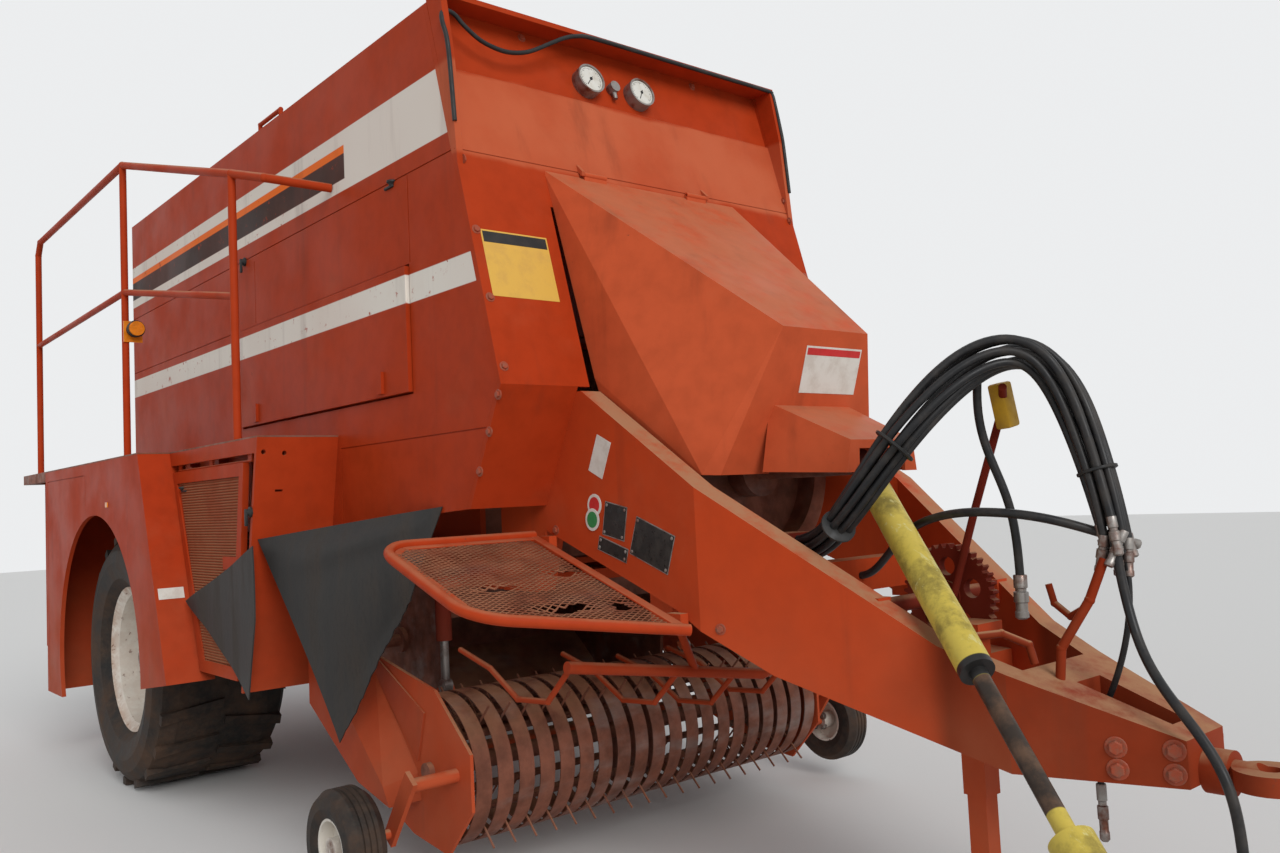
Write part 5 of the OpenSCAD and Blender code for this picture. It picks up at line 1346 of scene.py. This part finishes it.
class BALER_OT_gauges(bpy.types.Operator):
    """Dials with ticks and needles."""

    bl_idname = "baler.gauges"
    bl_label = "Gauge dials"

    def execute(self, context):
        for number, gauge in enumerate(GAUGES, 1):
            base = Vector((gauge["x"], panel_y(GAUGE_Z) + RECESS_DEPTH, GAUGE_Z))
            place = facing(base + GAUGE_WAY * DIAL_LIFT, GAUGE_WAY)
            face = turned(f"gauge_{number}_dial", [(DIAL_RADIUS, -0.002), (DIAL_RADIUS, 0.0006)], 40)
            face.data.transform(place)
            dress(face, "gauge_face_white")
            needle = slab("needle", (-0.012, -0.0014, 0.0018), (0.036, 0.0014, 0.0028), 0.0004)
            needle.data.transform(Matrix.Rotation(math.radians(gauge["needle"]), 4, "Z"))
            hub = turned("needle_hub", [(0.006, 0.0004), (0.006, 0.0032), (0.004, 0.0040)], 16)
            scale = joined(self.ticks() + [needle, hub], f"gauge_{number}_scale")
            scale.data.transform(place)
            dress(scale, "black_plastic")
        return {"FINISHED"}

    def ticks(self):
        """Small bars round the dial."""
        marks = []
        for step in range(SCALE_STEPS + 1):
            angle = math.radians(SCALE_START - SCALE_SWEEP * step / SCALE_STEPS)
            length = TICK_LONG if step % 5 == 0 else TICK_SHORT
            tick = slab("tick", (SCALE_RADIUS - length, -0.0007, 0.0004),
                        (SCALE_RADIUS, 0.0007, 0.0010), 0.0001)
            tick.data.transform(Matrix.Rotation(angle, 4, "Z"))
            marks.append(tick)
        return marks


# Latches on both sides: the node without its side, where, and the way of the handle's top.
# Those on a grille door ride on it
LATCHES = [
    {"node": "side_panel", "at": (0.820, -0.831, 2.460), "up": UPRIGHT},
    {"node": "side_panel", "at": (0.820, 0.607, 2.451), "up": UPRIGHT},
    {"node": "lower_shell", "at": (1.139, -0.245, 1.300), "up": UPRIGHT},
    {"node": "grille_door", "at": (1.139, 0.560, 1.420), "up": (0, 1, 0)},
]
# Rubber edging round the front panel's rim: up the right flange, off the rim in a loose
# loop, back on to the brow, along it and down the left flange
TRIM_ROUTE = [
    (-0.8185, -1.272, 2.550), (-0.8185, -1.263, 2.660), (-0.8185, -1.252, 2.780), (-0.8190, -1.240, 2.850),
    (-0.8240, -1.226, 2.900), (-0.8180, -1.215, 2.935), (-0.7940, -1.209, 2.952), (-0.7620, -1.208, 2.945),
    (-0.7300, -1.208, 2.918), (-0.6650, -1.209, 2.880), (-0.5850, -1.210, 2.864), (-0.5200, -1.210, 2.870),
    (-0.4550, -1.210, 2.892), (-0.3650, -1.210, 2.943), (-0.3050, -1.210, 2.976), (-0.2450, -1.210, 2.998),
    (-0.1600, -1.210, 3.009), (0.2000, -1.210, 3.009), (0.5000, -1.210, 3.009), (0.7800, -1.210, 3.009),
    (0.8130, -1.211, 2.998), (0.8185, -1.220, 2.950), (0.8185, -1.240, 2.850), (0.8185, -1.252, 2.780),
    (0.8185, -1.263, 2.660), (0.8185, -1.272, 2.550),
]
# The ribbed sheet in each grille door: corners of its field as y and z, its plane, the ribs'
# pitch, and how far the three lines of a rib stand out
LOUVRE_FIELD = ((-0.021, 0.706), (0.334, 0.706), (0.598, 1.438), (-0.117, 1.438))
LOUVRE_X = 1.1295
LOUVRE_PITCH = 0.011
LOUVRE_LINES = (0.0, 0.0048, 0.0040)
# The block on the hoses' arm: half its size, near where it sits, and the way of its top
ARM_BLOCK = (0.028, 0.022, 0.062)
ARM_BLOCK_AT = (0.0, -2.700, 1.470)
ARM_BLOCK_TOP = (-0.18, 0.06, 1.0)
# Middle of the left handrail's lamp, mirrored for the right one, and the rings of its rim
LAMP_AT = (1.165, 1.0725, 2.190)
LAMP_RINGS = [(0.037, -0.040), (0.037, -0.016), (0.040, -0.014), (0.040, -0.008), (0.036, -0.006)]


class BALER_OT_details(bpy.types.Operator):
    """Latches, edge trim, ribbed grille sheets, lamp rims and small fittings."""

    bl_idname = "baler.details"
    bl_label = "Small fittings"

    def execute(self, context):
        self.add_latches()
        trim = rod("edge_trim", TRIM_ROUTE, context.scene.baler_sizes.trim_width, 8, 4)
        dress(trim, "black_plastic", smooth=60)
        for side, word in SIDES:
            self.add_louvres(word, side)
            self.add_lamp_rim(word, side)
        self.add_arm_block()
        return {"FINISHED"}

    def add_latches(self):
        """Round latches with a short handle."""
        base = turned("latch_base", [(0.020, -0.001), (0.020, 0.006), (0.014, 0.009), (0.010, 0.018)], 20)
        lever = slab("latch_lever", (-0.008, -0.052, 0.014), (0.008, 0.012, 0.024), 0.003)
        latch = joined([base, lever], "latch_pattern")
        for number, row in enumerate(LATCHES, 1):
            x, y, z = row["at"]
            for side, word in SIDES:
                node = f"{row['node']}_{word}"
                made = seated(latch, f"latch_{number}_{word}", node, (side * x, y, z), row["up"])
                body = node if row["node"] == "grille_door" else "chassis"
                dress(made, "black_plastic", body, smooth=40)
        forget(latch)

    def add_louvres(self, word, side):
        """The ribbed sheet of one grille door."""
        (front_low, low), (back_low, _), (back_high, high), (front_high, _) = LOUVRE_FIELD
        lines = 3 * int((high - low) / LOUVRE_PITCH)
        deselect()
        bpy.ops.mesh.primitive_grid_add(x_subdivisions=2, y_subdivisions=lines, size=1)
        piece = settle(bpy.context.object, f"grille_sheet_{word}")
        for point in piece.data.vertices:
            u = point.co.x + 0.5
            v = point.co.y + 0.5
            front = front_low * (1 - v) + front_high * v
            back = back_low * (1 - v) + back_high * v
            out = LOUVRE_X + LOUVRE_LINES[round(v * lines) % 3]
            point.co = (side * out, front * (1 - u) + back * u, low * (1 - v) + high * v)
        turned_outward(piece, side)
        dress(piece, "louvre_dusty", f"grille_door_{word}")

    def add_lamp_rim(self, word, side):
        """Rim round the lens of the lamp on one handrail."""
        rim = turned(f"lamp_rim_{word}", LAMP_RINGS, 32)
        x, y, z = LAMP_AT
        rim.data.transform(facing((side * x, y, z), (0, -1, 0)))
        dress(rim, "black_plastic", smooth=40)

    def add_arm_block(self):
        """Yellow block on the arm that carries the hoses."""
        block = slab("arm_block", [-half for half in ARM_BLOCK], ARM_BLOCK, 0.007)
        place, _ = on_face("hose_stand", ARM_BLOCK_AT)
        block.data.transform(facing(place, ARM_BLOCK_TOP, (0, 1, 0)))
        dress(block, "box_yellow", smooth=40)


# Guards beside the tongue, in the plane of their mesh: x across, and y along the slope, zero at
# the rear edge and negative ahead of it. First where that edge lies as y and z, and the slope
GUARD_REAR = (-1.266, 1.174)
GUARD_TURN = math.atan(0.356)
GUARD_SLOPE = Matrix.Translation((0, *GUARD_REAR)) @ Matrix.Rotation(GUARD_TURN, 4, "X")
GUARD_INNER_X = 0.567
GUARD_OUTER_X = 1.140
GUARD_CHAMFER = 0.060
GUARD_CORNERS = (
    (GUARD_INNER_X, 0.0), (GUARD_OUTER_X - GUARD_CHAMFER, 0.0), (GUARD_OUTER_X, -GUARD_CHAMFER),
    (GUARD_OUTER_X, -0.496), (GUARD_OUTER_X - GUARD_CHAMFER, -0.576), (GUARD_INNER_X, -0.795),
)
# Diameter and bend of the tube, width of the flat border, and how far that laps the tube
GUARD_TUBE = 0.034
GUARD_BEND = 0.055
GUARD_BORDER = 0.026
BORDER_LAP = 0.004
BORDER_SHORT = 0.012
# The mesh: its cell, a strand's width and thickness, its field, the bare edge inside the corners'
# line, and how much of the chamfered corner it fills
MESH_CELL = (0.032, 0.017)
STRAND_WIDTH = 0.0032
STRAND_THICKNESS = 0.0022
MESH_FIELD = (0.60, 0.82)
MESH_EDGE = 0.024
MESH_CORNER = 0.016
# Tears in the mesh of the machine's right guard: middle and half size
TEARS = [
    {"x": 0.675, "y": -0.325, "half_x": 0.045, "half_y": 0.016},
    {"x": 0.951, "y": -0.387, "half_x": 0.043, "half_y": 0.010},
    {"x": 0.835, "y": -0.565, "half_x": 0.065, "half_y": 0.020},
    {"x": 0.656, "y": -0.590, "half_x": 0.022, "half_y": 0.022},
]
# How far the strands beside a tear bend down, and out to where, as a share of its half size
TEAR_SAG = 0.012
TEAR_REACH = 1.6


def rounded_corners(corners, reach, steps=5):
    """Points of an open line whose inner corners are rounded."""
    spots = [Vector(corner) for corner in corners]
    points = [spots[0]]
    for before, corner, after in zip(spots, spots[1:], spots[2:]):
        start = corner + (before - corner).normalized() * min(reach, (before - corner).length * 0.45)
        end = corner + (after - corner).normalized() * min(reach, (after - corner).length * 0.45)
        for step in range(steps + 1):
            t = step / steps
            points.append((1 - t) ** 2 * start + 2 * t * (1 - t) * corner + t * t * end)
    points.append(spots[-1])
    return points


def guard_front(x):
    """Y of the guard's slanting front edge at an x."""
    outer, middle, inner = GUARD_CORNERS[3:]
    start, end = (middle, outer) if x > middle[0] else (inner, middle)
    share = (x - start[0]) / (end[0] - start[0])
    return start[1] * (1 - share) + end[1] * share


def off_mesh(x, y):
    """Whether a place lies outside the field that the mesh fills."""
    past_corner = x + max(y, -GUARD_CHAMFER) > GUARD_OUTER_X - GUARD_CHAMFER + MESH_CORNER
    past_sides = x < GUARD_INNER_X + MESH_EDGE or x > GUARD_OUTER_X - MESH_EDGE
    return past_corner or past_sides or y > -MESH_EDGE or y < guard_front(x) + MESH_EDGE


def torn(spot):
    """How far a place lies from the nearest tear: under 1 inside it, with a ragged edge."""
    flat = GUARD_SLOPE.inverted() @ spot
    ragged = 1 + 0.35 * math.sin(170 * flat.x + 90 * flat.y)
    return min(math.hypot((flat.x - tear["x"]) / tear["half_x"], (flat.y - tear["y"]) / tear["half_y"])
               for tear in TEARS) / ragged


class BALER_OT_guards(bpy.types.Operator):
    """Tube guards with a flat border and torn expanded mesh."""

    bl_idname = "baler.guards"
    bl_label = "Guards"

    def execute(self, context):
        tube = rod("guard_tube", rounded_corners([(x, y, 0) for x, y in GUARD_CORNERS], GUARD_BEND),
                   GUARD_TUBE, 12, 1)
        border = self.add_border()
        mesh = self.add_mesh()
        for side, word in SIDES:
            guard = joined([copied(tube, "tube", GUARD_SLOPE), copied(border, "border", GUARD_SLOPE)],
                           f"guard_frame_{word}")
            strands = copied(mesh, f"guard_mesh_{word}", GUARD_SLOPE)
            if side < 0:
                self.tear(strands)
                self.mirror(guard)
                self.mirror(strands)
            dress(guard, "guard_paint", smooth=50)
            dress(strands, "guard_mesh_brown")
            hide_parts("guards")
            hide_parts("guards")
        for pattern in (tube, border, mesh):
            forget(pattern)
        return {"FINISHED"}

    def add_border(self):
        """Flat bars inside the tube that carry the mesh."""
        front_y = GUARD_CORNERS[5][1]
        bars = [slab("border_inner", (GUARD_INNER_X - 0.008, front_y + BORDER_SHORT, -0.003),
                     (GUARD_INNER_X + GUARD_BORDER, 0.006, 0.003), 0.001)]
        inset = GUARD_TUBE / 2 + GUARD_BORDER / 2 - BORDER_LAP
        for a, b in zip(GUARD_CORNERS, GUARD_CORNERS[1:]):
            start, end = Vector((*a, 0)), Vector((*b, 0))
            along = (end - start).normalized()
            inward = Vector((along.y, -along.x, 0))
            bar = slab("border_bar", (BORDER_SHORT, -GUARD_BORDER / 2, -0.002),
                       ((end - start).length - BORDER_SHORT, GUARD_BORDER / 2, 0.002), 0.0008)
            turn = Matrix.Rotation(math.atan2(along.y, along.x), 4, "Z")
            bar.data.transform(Matrix.Translation(start + inward * inset) @ turn)
            bars.append(bar)
        return joined(bars, "guard_border")

    def add_mesh(self):
        """One crossed pair of strands, repeated by two arrays and cut to the mesh's field."""
        wide, high = MESH_CELL
        slant = math.atan2(high, wide)
        arms = []
        for turn in (slant, -slant):
            deselect()
            bpy.ops.mesh.primitive_plane_add(size=1, location=(0, 0, 0))
            arm = bpy.context.object
            arm.scale = (math.hypot(wide, high), STRAND_WIDTH, 1)
            arm.rotation_euler = (0, 0, turn)
            arms.append(settle(arm, "strand"))
        strands = joined(arms, "guard_strands")
        across = int(MESH_FIELD[0] / wide) + 1
        along = int(MESH_FIELD[1] / high) + 1
        for count, offset in ((across, (wide, 0, 0)), (along, (0, -high, 0))):
            row = strands.modifiers.new("row", "ARRAY")
            row.count = count
            row.use_relative_offset = False
            row.use_constant_offset = True
            row.constant_offset_displace = offset
            hold(strands)
            bpy.ops.object.modifier_apply(modifier="row")
        strands.data.transform(Matrix.Translation((GUARD_INNER_X + 0.020, -0.010, 0)))
        self.trim(strands)
        for point in strands.data.vertices:
            x, y = point.co.x, point.co.y
            point.co.z += 0.0016 * math.sin(31 * x + 7 * y) + 0.0012 * math.sin(47 * y)
        return thickened(strands, STRAND_THICKNESS, 0.0)

    def trim(self, piece):
        """Delete the strands whose middles lie outside the mesh's field."""
        mesh = piece.data
        outside = [face for face in mesh.polygons if off_mesh(face.center.x, face.center.y)]
        for part in (*mesh.polygons, *mesh.edges, *mesh.vertices):
            part.select = False
        for face in outside:
            face.select = True
            for index in face.vertices:
                mesh.vertices[index].select = True
        self.delete_selected(piece)

    def tear(self, piece):
        """Take strands out of the torn places and bend those beside them down."""
        for face in piece.data.polygons:
            face.select = torn(face.center) < 1.0
        self.delete_selected(piece)
        for point in piece.data.vertices:
            near = torn(point.co)
            if near < TEAR_REACH:
                point.co.z -= TEAR_SAG * (TEAR_REACH - near)

    def delete_selected(self, piece):
        """Delete the faces that are selected."""
        hold(piece)
        bpy.ops.object.mode_set(mode="EDIT")
        bpy.ops.mesh.select_mode(type="FACE")
        bpy.ops.mesh.delete(type="FACE")
        bpy.ops.object.mode_set(mode="OBJECT")

    def mirror(self, piece):
        """Mirror a piece to the other side and turn its faces outwards again."""
        piece.data.transform(Matrix.Diagonal((-1, 1, 1, 1)))
        flip(piece)


OPERATORS = [BALER_OT_stage, BALER_OT_finishes, BALER_OT_hoses, BALER_OT_flaps, BALER_OT_guards,
             BALER_OT_bolts, BALER_OT_plates, BALER_OT_gauges, BALER_OT_details]
GROUPS = {"baler_colours": BalerColours, "baler_sizes": BalerSizes, "baler_stage": BalerStage}


class BALER_PT_panel(bpy.types.Panel):
    """Lists the steps that dress the baler."""

    bl_idname = "BALER_PT_panel"
    bl_label = "Square baler"
    bl_space_type = "VIEW_3D"
    bl_region_type = "UI"
    bl_category = "Baler"

    def draw(self, context):
        for step in OPERATORS:
            self.layout.operator(step.bl_idname)
        for group in GROUPS:
            held = getattr(context.scene, group)
            for key in held.bl_rna.properties.keys():
                if key not in ("name", "rna_type"):
                    self.layout.prop(held, key)


def register():
    """Register the property groups, the steps and the panel."""
    for group in GROUPS.values():
        bpy.utils.register_class(group)
    for name, group in GROUPS.items():
        setattr(bpy.types.Scene, name, bpy.props.PointerProperty(type=group))
    for step in OPERATORS:
        bpy.utils.register_class(step)
    bpy.utils.register_class(BALER_PT_panel)


def unregister():
    """Take away all that register added, in the opposite order."""
    bpy.utils.unregister_class(BALER_PT_panel)
    for step in reversed(OPERATORS):
        bpy.utils.unregister_class(step)
    for name in GROUPS:
        delattr(bpy.types.Scene, name)
    for group in reversed(list(GROUPS.values())):
        bpy.utils.unregister_class(group)


def main():
    """Register, then run every step."""
    register()
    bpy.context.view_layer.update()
    for step in OPERATORS:
        group, name = step.bl_idname.split(".")
        getattr(getattr(bpy.ops, group), name)()


if __name__ == "__main__":
    main()
